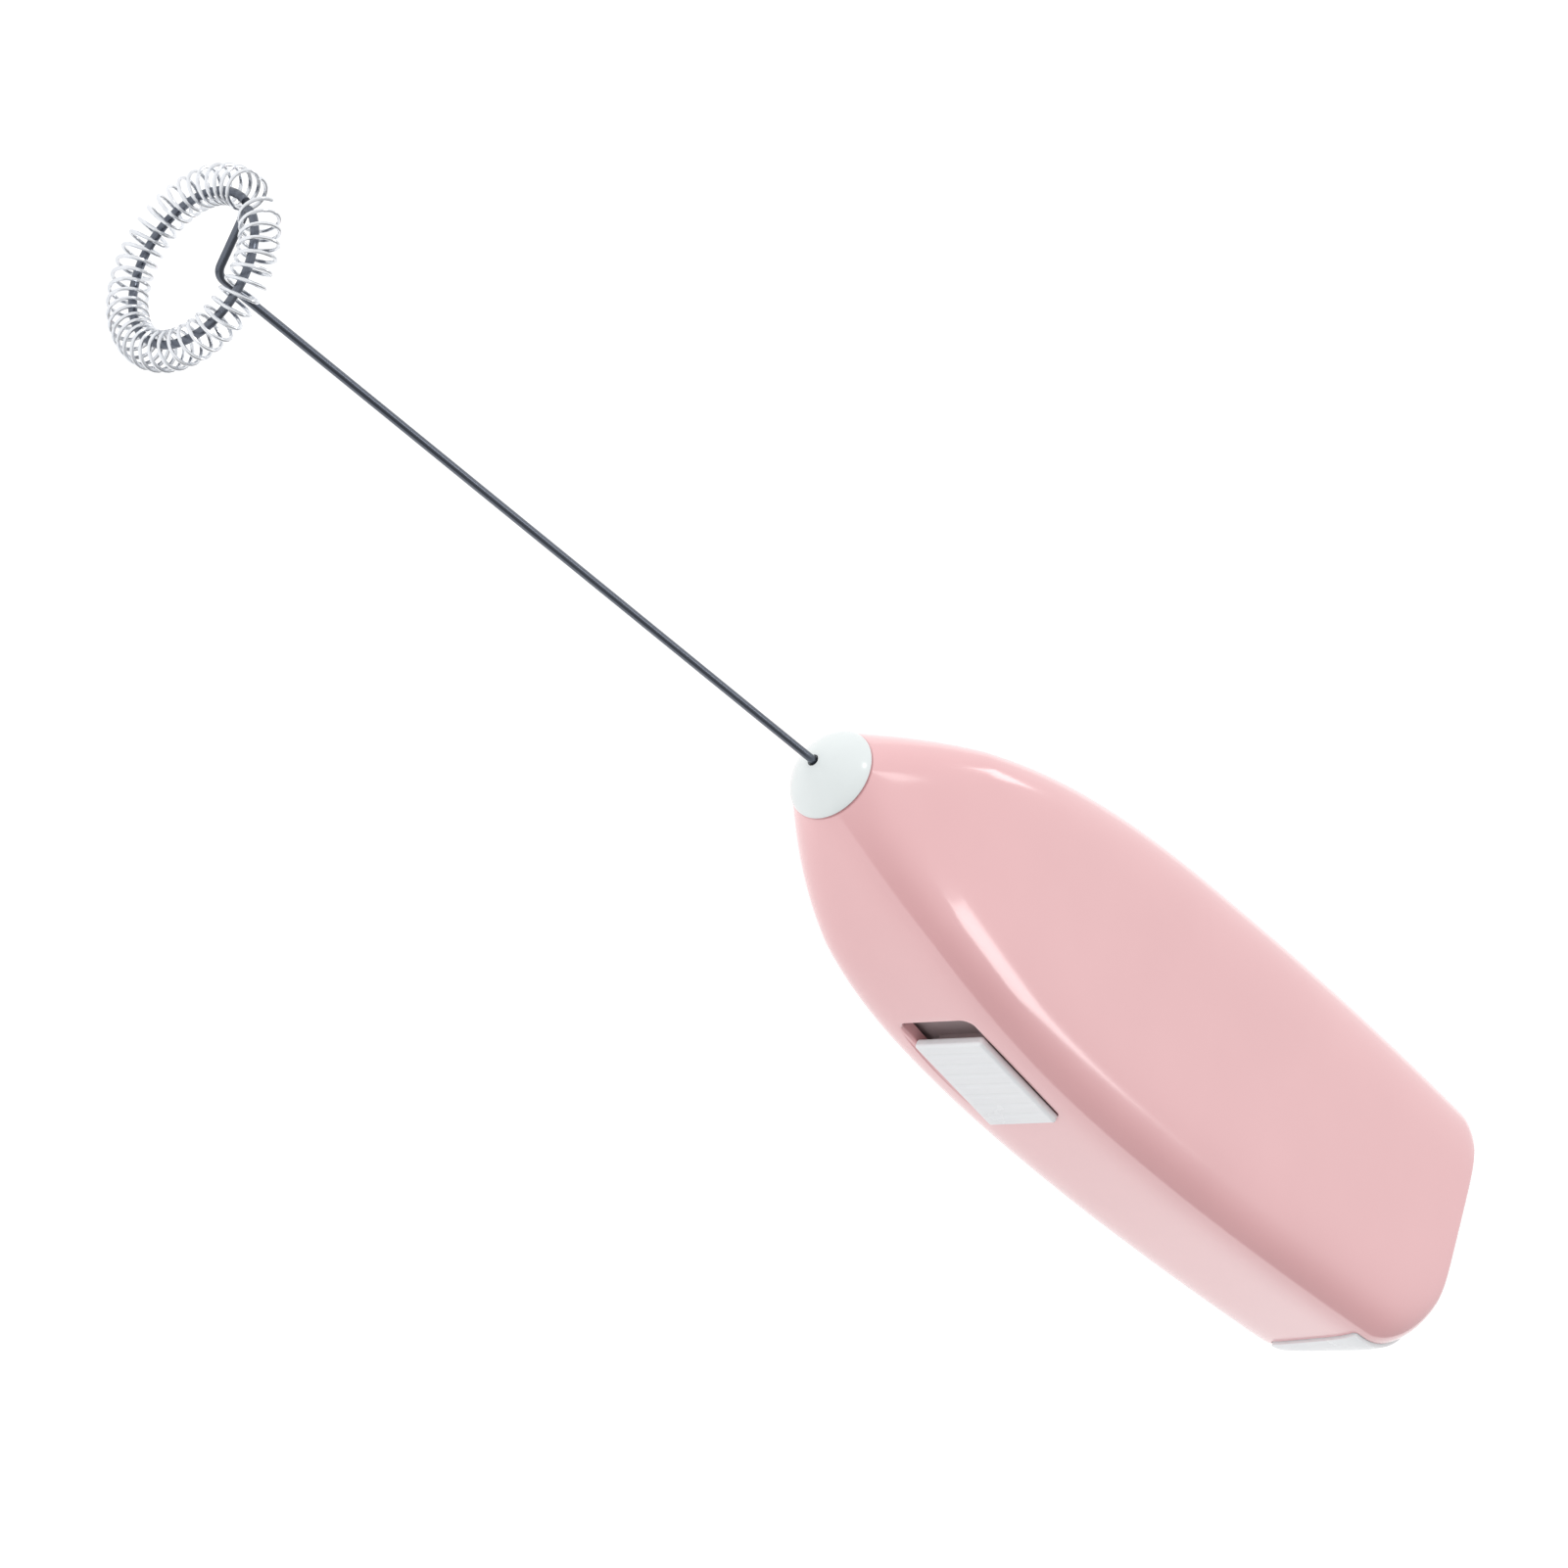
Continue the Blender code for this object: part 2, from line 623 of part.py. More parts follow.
def armature_core():
    """Three-pole lamination stack, bored for the shaft."""
    stem, neck, hub, tip = 0.85 * MM, 3.4 * MM, 1.8 * MM, 4.5 * MM
    spread, root = math.radians(48), math.asin(stem / neck)
    base = math.asin(stem / hub)
    pole_outline = [(hub * math.cos(base), -stem), *arc(neck, -root, -spread, 3)]
    pole_outline += arc(tip, -spread, spread, 8) + arc(neck, spread, root, 3)
    pole_outline.append((hub * math.cos(base), stem))
    outer = []
    for pole in range(3):
        turn = 2 * math.pi * pole / 3
        c, h = math.cos(turn), math.sin(turn)
        outer += [(a * c - b * h, a * h + b * c) for a, b in pole_outline]
    bore = arc(MOTOR_SHAFT + GAP, 0, -2 * math.pi * 15 / 16, 15)
    data = bpy.data.curves.new("armature_core", "CURVE")
    data.dimensions = "2D"
    data.fill_mode = "BOTH"
    data.extrude = CORE_HALF
    for outline in (outer, bore):
        spline = data.splines.new("POLY")
        spline.points.add(len(outline) - 1)
        for point, (a, b) in zip(spline.points, outline):
            point.co = (a, b, 0.0, 1.0)
        spline.use_cyclic_u = True
    obj = link("armature_core", data, LAMINATION)
    obj.location = at(CORE_MIDDLE, 0, 0)
    obj.rotation_euler = (0.0, math.radians(-90.0), 0.0)
    return obj


def winding(name, pole):
    """One coil of the armature, a square ring round a pole's stem."""
    turn = 2 * math.pi * pole / 3
    inner, outer = (1.15 * MM, CORE_HALF + GAP), (1.75 * MM, CORE_HALF + 1.3 * MM)
    low, high = 2.05 * MM, 2.65 * MM
    rows = []
    # The core's outline is drawn in X and Y and stood on end, so its X runs along world Z.
    for reach, (wide, long) in ((low, outer), (high, outer), (high, inner), (low, inner)):
        ring = []
        for a, b in ((-1, -1), (1, -1), (1, 1), (-1, 1)):
            z = reach * math.cos(turn) - a * wide * math.sin(turn)
            y = reach * math.sin(turn) + a * wide * math.cos(turn)
            ring.append(at(CORE_MIDDLE + b * long, y, z))
        rows.append(ring)
    return loft(name, rows, COPPER, closed=True, smooth=False)


def motor_screw(name, side):
    head, seat, tip = MOUNT_PLATE + 3.4 * MM, MOUNT_PLATE + 2.1 * MM, CAN_END - 1.2 * MM
    profile = [(0, head), (1.1 * MM, head), (1.5 * MM, head - 0.4 * MM), (1.5 * MM, seat),
               (0.9 * MM, seat), (0.9 * MM, tip), (0, tip)]
    return turned(name, profile, CAN_STEEL, y=side * SCREW_REACH, steps=16)


def motor_inside():
    magnet("magnet_1", -1)
    magnet("magnet_2", 1)
    tail = CAN_START - 2.6 * MM
    turned("motor_shaft", [(0, SHAFT_TIP), (MOTOR_SHAFT, SHAFT_TIP), (MOTOR_SHAFT, tail), (0, tail)],
           SHAFT_STEEL, steps=20)
    armature_core()
    for pole in range(3):
        winding(f"winding_{pole + 1}", pole)
    start = CAN_START + 1.6 * MM
    tube("commutator", MOTOR_SHAFT + GAP, 2.0 * MM, start, start + 2.9 * MM, COPPER, steps=20)
    for i, side in enumerate((-1, 1)):
        low, high = sorted((side * 2.3 * MM, side * 2.7 * MM))
        box(f"brush_{i + 1}", (start + 0.2 * MM, start + 2.6 * MM), (-1 * MM, 3 * MM), (low, high), BRASS)
        low, high = sorted((side * 4.4 * MM, side * 4.8 * MM))
        box(f"motor_terminal_{i + 1}", (CAN_START - 5.4 * MM, CAN_START - 3.3 * MM), (-1 * MM, 1 * MM),
            (low, high), NICKEL)
        motor_screw(f"motor_screw_{i + 1}", side)
    coupling = [
        (0, COUPLING_WEB + 0.7 * MM), (WIRE_RADIUS + GAP, COUPLING_WEB + 0.7 * MM),
        (WIRE_RADIUS + GAP, COUPLING_END), (COUPLING_RADIUS - 0.3 * MM, COUPLING_END),
        (COUPLING_RADIUS, COUPLING_END - 0.5 * MM), (COUPLING_RADIUS, COUPLING_START),
        (MOTOR_SHAFT + GAP, COUPLING_START), (MOTOR_SHAFT + GAP, COUPLING_WEB), (0, COUPLING_WEB),
    ]
    turned("shaft_coupling", coupling, BRASS, steps=24)


# ---------------------------------------------------------------- battery bay

def cell(name, side, nub, tail):
    """A round cell: nub and tail are where its two ends sit."""
    way = 1 if nub > tail else -1
    points = [
        (0, nub), (2.6 * MM, nub), (2.6 * MM, nub - way * 1.1 * MM),
        (CELL_RADIUS - 0.5 * MM, nub - way * 1.1 * MM),
        (CELL_RADIUS, nub - way * 1.6 * MM), (CELL_RADIUS, tail + way * 0.5 * MM),
        (CELL_RADIUS - 0.5 * MM, tail), (0, tail),
    ]
    if way < 0:
        points.reverse()
    return turned(name, points, CELL_JACKET, y=BAY_MIDDLE + side * CELL_PITCH / 2, z=-SHAFT_RISE, steps=32)


def spring(name, side, start, end):
    """A conical contact spring, wide at start."""
    points = []
    steps = 40
    for k in range(steps + 1):
        t = k / steps
        angle = 2 * math.pi * SPRING_TURNS * t
        radius = SPRING_WIDE + (SPRING_NARROW - SPRING_WIDE) * t
        points.append(at(
            start + (end - start) * t,
            BAY_MIDDLE + side * CELL_PITCH / 2 + radius * math.cos(angle),
            radius * math.sin(angle) - SHAFT_RISE,
        ))
    return wire(name, points, SPRING_WIRE, NICKEL)


def battery_bay():
    half = CELL_PITCH / 2
    back_tail = BACK_CELL_NUB + CELL_LENGTH
    front_tail = FRONT_CELL_NUB - CELL_LENGTH
    cell("battery_1", -1, FRONT_CELL_NUB, front_tail)
    cell("battery_2", 1, BACK_CELL_NUB, back_tail)
    plate = BULKHEAD - 0.7 * MM
    for name, side in (("positive_contact", -1), ("negative_contact", 1)):
        centre = BAY_MIDDLE + side * half
        box(name, (plate, plate + 0.4 * MM), (centre - 5.2 * MM, centre + 5.2 * MM),
            (-6.3 * MM, 5.3 * MM), NICKEL)
    spring("negative_spring", 1, plate - 0.65 * MM, back_tail + 0.65 * MM)
    bridge = BACK_CELL_NUB - 0.7 * MM
    box("bridge_contact", (bridge, bridge + 0.4 * MM), (BAY_MIDDLE - half - 5 * MM, BAY_MIDDLE + half + 4 * MM),
        (-5.3 * MM, 2.7 * MM), NICKEL)
    spring("bridge_spring", -1, bridge + 1.05 * MM, front_tail - 0.65 * MM)


def leads():
    start = BULKHEAD + 0.05 * MM
    past = BULKHEAD + 3.6 * MM
    stop = CAN_START - 5.75 * MM
    tab = 4.6 * MM
    (u1, z1), (u2, z2) = BOARD_HOLES
    pad = BOARD_DEPTH + 0.15 * MM
    lane = BOARD_DEPTH + 2.4 * MM
    front, back = BAY_MIDDLE - LEAD_SPREAD, BAY_MIDDLE + LEAD_SPREAD
    wire("lead_battery_to_switch", rounded_path([
        at(start, front, LEAD_HEIGHT), at(past, front, LEAD_HEIGHT), at(past + 1 * MM, front - 1 * MM, 2 * MM),
        switch_at(u1 - 2 * MM, lane, 2.4 * MM), switch_at(u1, lane, z1), switch_at(u1, pad, z1),
    ], 2 * MM), LEAD_RADIUS, PVC_RED)
    wire("lead_switch_to_motor", rounded_path([
        switch_at(u2, pad, z2), switch_at(u2, lane, z2), switch_at(u2 - 3 * MM, lane, -2.6 * MM),
        at(71 * MM, -9.4 * MM, -3.6 * MM), at(stop - 1 * MM, -6 * MM, -tab), at(stop - 1 * MM, 0, -tab),
        at(stop, 0, -tab),
    ], 2 * MM), LEAD_RADIUS, PVC_RED)
    wire("lead_battery_to_motor", rounded_path([
        at(start, back, LEAD_HEIGHT), at(stop - 1 * MM, back, LEAD_HEIGHT), at(stop - 1 * MM, 0, tab),
        at(stop, 0, tab),
    ], 1.5 * MM), LEAD_RADIUS, PVC_BLACK)


# ---------------------------------------------------------------- whisk

def ring_frame():
    """The ring's centre, two directions in its plane and the one out of it, away from the handle."""
    centre = at(HANDLE_LENGTH + RING_FROM_SEAM, RING_SHIFT_Y, RING_SHIFT_Z)
    along = Vector((-1.0, -math.tan(RING_TILT_SIDE), math.tan(RING_TILT_UP))).normalized()
    up = (Vector((0, 0, 1)) - along * along.z).normalized()
    return centre, up.cross(-along), up, along


def whisk_shaft():
    centre, side, up, _ = ring_frame()

    def rim(angle):
        return centre + HOOP_RADIUS * (math.cos(angle) * side + math.sin(angle) * up)

    bend = HANDLE_LENGTH + RING_FROM_SEAM - ARM_OFFSET
    start = at(WIRE_START, 0, 0)
    corner = at(bend, 0, 0)
    join = rim(ARM_ANGLE)
    path = rounded_path([start, corner, join, rim(ARM_ANGLE + math.radians(24))], 1.2 * MM, 4)[:-1]
    steps = 56
    first = ARM_ANGLE + math.radians(12)
    last = ARM_ANGLE + 2 * math.pi - math.radians(5)
    for k in range(steps + 1):
        path.append(rim(first + (last - first) * k / steps))
    return wire("whisk_shaft", path, WIRE_RADIUS, WHISK_STEEL)


def whisk_coil():
    centre, side, up, along = ring_frame()
    points = []
    per_turn = 10
    first = ARM_ANGLE + COIL_GAP * 0.62
    last = ARM_ANGLE + 2 * math.pi - COIL_GAP * 0.38
    steps = COIL_TURNS * per_turn
    for k in range(steps + 1):
        t = k / steps
        around = first + (last - first) * t
        out = math.cos(around) * side + math.sin(around) * up
        twist = 2 * math.pi * COIL_TURNS * t
        offset = out * math.cos(twist) + along * math.sin(twist)
        points.append(centre + out * RING_RADIUS + offset * COIL_RADIUS)
    return wire("whisk_coil", points, COIL_WIRE, WHISK_STEEL, resolution=0)


def carry(name, frame, pieces):
    """An empty on a joint's axis that holds the pieces that move with it."""
    empty = bpy.data.objects.new(name, None)
    PARTS.objects.link(empty)
    empty.matrix_world = frame
    for piece in pieces:
        obj = bpy.data.objects[piece]
        obj.parent = empty
        obj.matrix_parent_inverse = frame.inverted()


outer_shell()
nose_cap()
shaft_seal()
battery_door()
chassis()
switch_slider()
switch_carriage()
switch_works()
motor_case()
motor_inside()
battery_bay()
leads()
whisk_shaft()
whisk_coil()
carry("spindle_axis", SHAFT_FRAME, [
    "motor_shaft", "armature_core", "winding_1", "winding_2", "winding_3", "commutator",
    "shaft_coupling", "whisk_shaft", "whisk_coil",
])
carry("slider_track", SWITCH_FRAME, ["switch_slider", "switch_carriage", "switch_wiper"])
carry("door_track", SHAFT_FRAME, ["battery_door", "bridge_contact", "bridge_spring"])
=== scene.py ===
"""Looks of a battery milk frother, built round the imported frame.

The handle, door, nose, switch and whisk are surfaces worked out as arrays; the works inside keep
their frame shapes and get finishes. Lengths are in metres unless a name says otherwise.
"""

import json
import logging
import math
from collections.abc import Callable
from dataclasses import dataclass, field
from enum import Enum

import bmesh
import bpy
import numpy as np
from mathutils import Matrix, Vector


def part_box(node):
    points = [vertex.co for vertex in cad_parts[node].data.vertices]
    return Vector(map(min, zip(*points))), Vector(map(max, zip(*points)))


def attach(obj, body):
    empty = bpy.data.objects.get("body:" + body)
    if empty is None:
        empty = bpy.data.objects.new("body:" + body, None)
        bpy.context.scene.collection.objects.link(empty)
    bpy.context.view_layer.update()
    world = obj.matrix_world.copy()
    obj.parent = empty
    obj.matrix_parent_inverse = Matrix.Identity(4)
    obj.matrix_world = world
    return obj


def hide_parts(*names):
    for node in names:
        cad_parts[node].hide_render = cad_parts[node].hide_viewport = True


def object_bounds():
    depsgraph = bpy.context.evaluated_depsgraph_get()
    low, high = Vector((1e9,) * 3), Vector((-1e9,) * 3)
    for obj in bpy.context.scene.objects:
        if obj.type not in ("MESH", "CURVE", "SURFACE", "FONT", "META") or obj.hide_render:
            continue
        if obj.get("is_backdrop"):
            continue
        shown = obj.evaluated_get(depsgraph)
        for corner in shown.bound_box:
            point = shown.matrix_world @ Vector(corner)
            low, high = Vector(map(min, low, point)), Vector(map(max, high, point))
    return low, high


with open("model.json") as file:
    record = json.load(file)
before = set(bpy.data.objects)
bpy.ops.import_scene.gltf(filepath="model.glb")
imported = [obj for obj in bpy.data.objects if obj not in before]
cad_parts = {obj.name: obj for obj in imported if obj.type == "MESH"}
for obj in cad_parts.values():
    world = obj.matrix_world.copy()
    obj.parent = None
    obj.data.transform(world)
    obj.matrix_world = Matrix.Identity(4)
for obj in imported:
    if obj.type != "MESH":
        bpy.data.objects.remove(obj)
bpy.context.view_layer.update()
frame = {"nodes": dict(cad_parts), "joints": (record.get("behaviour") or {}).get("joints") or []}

MM = 0.001
TURN = 2.0 * math.pi
EDGE_STEPS = 4          # faces across half of a block's rounded edge
FUSE = 1e-7             # points of a block closer than this are one
log = logging.getLogger("milk_frother")


# ---------------------------------------------------------------- arrays and meshes

def spread(start: float, end: float, count: int) -> np.ndarray:
    """Count values from start to end with even steps."""
    return np.linspace(start, end, count)


def eased(start: float, end: float, count: int) -> np.ndarray:
    """Count values from start to end, closer together near the start (1 - cos)."""
    return start + (end - start) * (1.0 - np.cos(np.linspace(0.0, math.pi / 2, count)))


def unit(vectors: np.ndarray) -> np.ndarray:
    """Each row of vectors at length one."""
    return vectors / np.linalg.norm(vectors, axis=-1, keepdims=True)


def grid_faces(rows: int, cols: int, wrap_rows: bool, wrap_cols: bool) -> np.ndarray:
    """Quads of a grid of points.

    Args:
        rows: number of rows of points.
        cols: number of points in a row.
        wrap_rows: the last row joins the first.
        wrap_cols: the last point of a row joins its first.

    Returns:
        An array of four point numbers for each quad.
    """
    i = np.arange(rows if wrap_rows else rows - 1)
    j = np.arange(cols if wrap_cols else cols - 1)
    i, j = np.meshgrid(i, j, indexing="ij")
    on, over = (i + 1) % rows, (j + 1) % cols
    quads = np.stack([i * cols + j, i * cols + over, on * cols + over, on * cols + j], axis=-1)
    return quads.reshape(-1, 4)


def skin(name: str, grid: np.ndarray, wrap_rows: bool = False, wrap_cols: bool = True,
         caps: bool = True, uv: np.ndarray | None = None) -> bpy.types.Object:
    """A mesh object through a grid of points, its faces turned outwards.

    Args:
        name: the object's name.
        grid: points, rows by columns by three.
        wrap_rows: the last row joins the first, as in a sleeve with a wall.
        wrap_cols: each row is a closed ring.
        caps: close the first and last rings with a face.
        uv: lengths along and round the surface for each point, kept as an attribute.

    Returns:
        The linked object.
    """
    rows, cols = grid.shape[:2]
    faces = grid_faces(rows, cols, wrap_rows, wrap_cols).tolist()
    if caps and not wrap_rows:
        faces.append(list(range(cols)))
        faces.append(list(range((rows - 1) * cols, rows * cols)))
    mesh = bpy.data.meshes.new(name)
    mesh.from_pydata(grid.reshape(-1, 3).tolist(), [], faces)
    if uv is not None:
        layer = mesh.attributes.new("lay", "FLOAT_VECTOR", "POINT")
        flat = np.zeros((rows * cols, 3))
        flat[:, :uv.shape[-1]] = uv.reshape(rows * cols, -1)
        layer.data.foreach_set("vector", flat.ravel())
    return settle(name, mesh)


def settle(name: str, mesh: bpy.types.Mesh, crease: float = 30.0) -> bpy.types.Object:
    """Links a mesh as an object with outward faces, smooth but for its sharp edges.

    Args:
        name: the object's name.
        mesh: its mesh, which is changed.
        crease: edges over this many degrees are sharp.

    Returns:
        The linked object.
    """
    bm = bmesh.new()
    bm.from_mesh(mesh)
    bmesh.ops.recalc_face_normals(bm, faces=bm.faces)
    bm.to_mesh(mesh)
    bm.free()
    mesh.shade_smooth()
    mesh.set_sharp_from_angle(angle=math.radians(crease))
    obj = bpy.data.objects.new(name, mesh)
    bpy.context.scene.collection.objects.link(obj)
    return obj


def rounded_block(name: str, low: Vector, high: Vector, radius: float,
                  counts: tuple[int, int, int] = (12, 12, 6)) -> bpy.types.Object:
    """A block with rounded edges: points of a box's six face grids, each pulled to within radius
    of the core box that is smaller by radius all round.

    Args:
        name: the object's name.
        low: lowest corner.
        high: highest corner.
        radius: edge radius.
        counts: grid lines across each of X, Y and Z.

    Returns:
        The linked object.
    """
    half = (np.array(high) - np.array(low)) / 2
    middle = (np.array(high) + np.array(low)) / 2
    lines = []
    for size, count in zip(half, counts):
        edge = size - radius
        bend = np.tan(np.linspace(0.0, math.pi / 4, EDGE_STEPS + 1)[1:]) * radius
        lines.append(np.concatenate([-edge - bend[::-1], np.linspace(-edge, edge, count), edge + bend]))
    bm = bmesh.new()
    for axis in range(3):
        first, second = (axis + 1) % 3, (axis + 2) % 3
        a, b = np.meshgrid(lines[first], lines[second], indexing="ij")
        for side in (-1.0, 1.0):
            points = np.zeros((*a.shape, 3))
            points[..., first] = a
            points[..., second] = b
            points[..., axis] = side * half[axis]
            core = np.clip(points, radius - half, half - radius)
            points = core + radius * unit(points - core) + middle
            rows, cols = a.shape
            verts = [bm.verts.new(p) for p in points.reshape(-1, 3)]
            for quad in grid_faces(rows, cols, False, False):
                bm.faces.new([verts[k] for k in quad])
    bmesh.ops.remove_doubles(bm, verts=bm.verts, dist=FUSE)
    mesh = bpy.data.meshes.new(name)
    bm.to_mesh(mesh)
    bm.free()
    return settle(name, mesh)


class Cut(Enum):
    """What a tool does to a piece."""

    AWAY = "DIFFERENCE"
    JOIN = "UNION"
    MEET = "INTERSECT"


def carve(piece: bpy.types.Object, tool: bpy.types.Object, how: Cut = Cut.AWAY,
          crease: float = 30.0) -> None:
    """Changes piece by tool for good, and throws the tool away.

    Args:
        piece: the object that changes.
        tool: the object that is used up.
        how: take the tool away, join it, or keep what both share.
        crease: edges over this many degrees are sharp afterwards.
    """
    mod = piece.modifiers.new("carve", "BOOLEAN")
    mod.operation = how.value
    mod.solver = "EXACT"
    mod.object = tool
    bpy.context.view_layer.update()
    graph = bpy.context.evaluated_depsgraph_get()
    done = bpy.data.meshes.new_from_object(piece.evaluated_get(graph))
    piece.modifiers.clear()
    done.name = piece.name
    piece.data = done
    bpy.data.objects.remove(tool)
    done.shade_smooth()
    done.set_sharp_from_angle(angle=math.radians(crease))


def sweep(name: str, path: np.ndarray, ref: np.ndarray, radius: np.ndarray | float,
          sides: int) -> bpy.types.Object:
    """A round wire: a circle carried along path, each ring = centre + r (n cos a + (t x n) sin a),
    where t is the path's direction and n is ref with its part along t taken away.

    Args:
        name: the object's name.
        path: points along the middle of the wire.
        ref: a direction for each point that is never along the wire.
        radius: the wire's radius, one for all or one for each point.
        sides: points round the wire.

    Returns:
        The linked object.
    """
    tangent = unit(np.gradient(path, axis=0))
    normal = unit(ref - np.sum(ref * tangent, axis=1, keepdims=True) * tangent)
    across = np.cross(tangent, normal)
    angle = np.arange(sides) * TURN / sides
    size = np.broadcast_to(np.asarray(radius, float), (len(path),))[:, None, None]
    ring = normal[:, None] * np.cos(angle)[:, None] + across[:, None] * np.sin(angle)[:, None]
    run = np.concatenate([[0.0], np.cumsum(np.linalg.norm(np.diff(path, axis=0), axis=1))])
    lay = np.stack([np.repeat(run[:, None], sides, 1), np.cos(angle) * size[:, 0],
                    np.sin(angle) * size[:, 0]], axis=-1)
    return skin(name, path[:, None] + size * ring, uv=lay)


def turned(name: str, profile: np.ndarray, place: Callable[..., np.ndarray],
           steps: int = 96) -> bpy.types.Object:
    """A turned piece: point = place(u, r cos a, r sin a) for each (r, u) of a closed profile.

    Args:
        name: the object's name.
        profile: rows of radius and distance along the axis.
        place: turns distances along the axis and offsets from it into points.
        steps: points in each ring.

    Returns:
        The linked object.
    """
    angle = np.arange(steps) * TURN / steps
    r, u = profile[:, :1], profile[:, 1:]
    grid = place(u + 0 * angle, r * np.cos(angle), r * np.sin(angle))
    return skin(name, grid, wrap_rows=True)


# ---------------------------------------------------------------- finishes

def linear(code: str) -> tuple[float, float, float, float]:
    """An sRGB hex colour as linear values: v / 12.92 when dark, else ((v + 0.055) / 1.055) ^ 2.4.

    Args:
        code: the colour as #rrggbb.

    Returns:
        Linear red, green, blue, and an alpha of one.
    """
    values = [int(code[i:i + 2], 16) / 255.0 for i in (1, 3, 5)]
    straight = [v / 12.92 if v <= 0.04045 else ((v + 0.055) / 1.055) ** 2.4 for v in values]
    return (*straight, 1.0)


def add(tree: bpy.types.NodeTree, kind: str, inputs: dict[str | int, object],
        **settings: object) -> bpy.types.Node:
    """Adds a node.

    Args:
        tree: the material's node tree.
        kind: the node's type name.
        inputs: socket name or number to a value, or to the output socket that feeds it.
        settings: the node's own properties.

    Returns:
        The node.
    """
    made = tree.nodes.new(kind)
    for key, value in settings.items():
        setattr(made, key, value)
    for key, value in inputs.items():
        if isinstance(value, bpy.types.NodeSocket):
            tree.links.new(value, made.inputs[key])
        else:
            made.inputs[key].default_value = value
    return made


MIX_A, MIX_B, MIX_RESULT = 6, 7, 2      # the colour sockets of a Mix node, by number


class Place(Enum):
    """Where a pattern is read: the object's own coordinates, or lengths along and round a wire."""

    OBJECT = "object"
    LAY = "lay"


@dataclass(frozen=True)
class Finish:
    """A surface finish: base colour, how it varies, its sheen and its grain.

    Drawing lines, tool marks and moulded grain are 0.005 to 0.05 mm apart on the real surfaces,
    too fine to show, so grain_mm draws them coarser. Windings and laminations keep their size.
    """

    name: str
    colour: str
    shade: str                      # the colour that the mottling drifts towards
    roughness: float
    rough_drift: float = 0.05
    mottle_mm: float = 6.0          # size of the colour drift
    grain_mm: float = 0.8           # size of the surface grain
    grain_depth_mm: float = 0.004
    stretch: tuple[float, float, float] = (1.0, 1.0, 1.0)
    place: Place = Place.OBJECT

    def coordinates(self, tree: bpy.types.NodeTree, size_mm: float) -> bpy.types.NodeSocket:
        """Pattern coordinates in which one unit is size_mm, stretched along the grain.

        Args:
            tree: the material's node tree.
            size_mm: the size of the pattern's features.

        Returns:
            The socket that gives them.
        """
        if self.place is Place.LAY:
            source = add(tree, "ShaderNodeAttribute", {}, attribute_name="lay").outputs["Vector"]
        else:
            source = add(tree, "ShaderNodeTexCoord", {}).outputs["Object"]
        scale = [s / (size_mm * MM) for s in self.stretch]
        return add(tree, "ShaderNodeMapping", {"Vector": source, "Scale": scale}).outputs["Vector"]

    def unevenness(self, tree: bpy.types.NodeTree, size_mm: float, detail: float) -> bpy.types.NodeSocket:
        """An uneven pattern with features of size_mm."""
        inputs = {"Vector": self.coordinates(tree, size_mm), "Scale": 1.0, "Detail": detail}
        return add(tree, "ShaderNodeTexNoise", inputs).outputs["Fac"]

    def colour_socket(self, tree: bpy.types.NodeTree) -> bpy.types.NodeSocket:
        """The base colour, drifting between colour and shade.

        Args:
            tree: the material's node tree.

        Returns:
            The socket that gives it.
        """
        ramp = add(tree, "ShaderNodeMapRange",
                   {"Value": self.unevenness(tree, self.mottle_mm, 3.0), "From Min": 0.3, "From Max": 0.7})
        mix = add(tree, "ShaderNodeMix", {
            "Factor": ramp.outputs["Result"], MIX_A: linear(self.colour), MIX_B: linear(self.shade),
        }, data_type="RGBA")
        return mix.outputs[MIX_RESULT]

    def shader_values(self) -> dict:
        """Constants set on the shader's own sockets."""
        return {}

    def make(self) -> bpy.types.Material:
        """Builds the material the first time it is asked for.

        Returns:
            The material.
        """
        kept = bpy.data.materials.get(self.name)
        if kept:
            return kept
        made = bpy.data.materials.new(self.name)
        made.use_nodes = True
        tree = made.node_tree
        tree.nodes.clear()
        rough = add(tree, "ShaderNodeMapRange", {
            "Value": self.unevenness(tree, self.mottle_mm * 0.6, 4.0), "From Min": 0.25, "From Max": 0.75,
            "To Min": self.roughness, "To Max": self.roughness + self.rough_drift,
        })
        bump = add(tree, "ShaderNodeBump", {
            "Height": self.unevenness(tree, self.grain_mm, 2.0), "Strength": 1.0,
            "Distance": self.grain_depth_mm * MM,
        })
        shader = add(tree, "ShaderNodeBsdfPrincipled", {
            "Base Color": self.colour_socket(tree), "Roughness": rough.outputs["Result"],
            "Normal": bump.outputs["Normal"], **self.shader_values(),
        })
        add(tree, "ShaderNodeOutputMaterial", {"Surface": shader.outputs["BSDF"]})
        made.diffuse_color = linear(self.colour)
        return made


@dataclass(frozen=True)
class Moulded(Finish):
    """Injection-moulded plastic: even colour, a polished tool's gloss, a trace of orange peel."""

    ior: float = 1.54

    def shader_values(self) -> dict:
        """A dielectric with the plastic's refractive index."""
        return {"Metallic": 0.0, "IOR": self.ior}


@dataclass(frozen=True)
class Gloss(Moulded):
    """Moulded plastic with a clear gloss coat, which mirrors strongly at low angles."""

    coat: float = 1.0
    coat_ior: float = 1.75
    coat_roughness: float = 0.1

    def shader_values(self) -> dict:
        """The plastic's values and the coat's."""
        return {**Moulded.shader_values(self), "Coat Weight": self.coat, "Coat IOR": self.coat_ior,
                "Coat Roughness": self.coat_roughness}


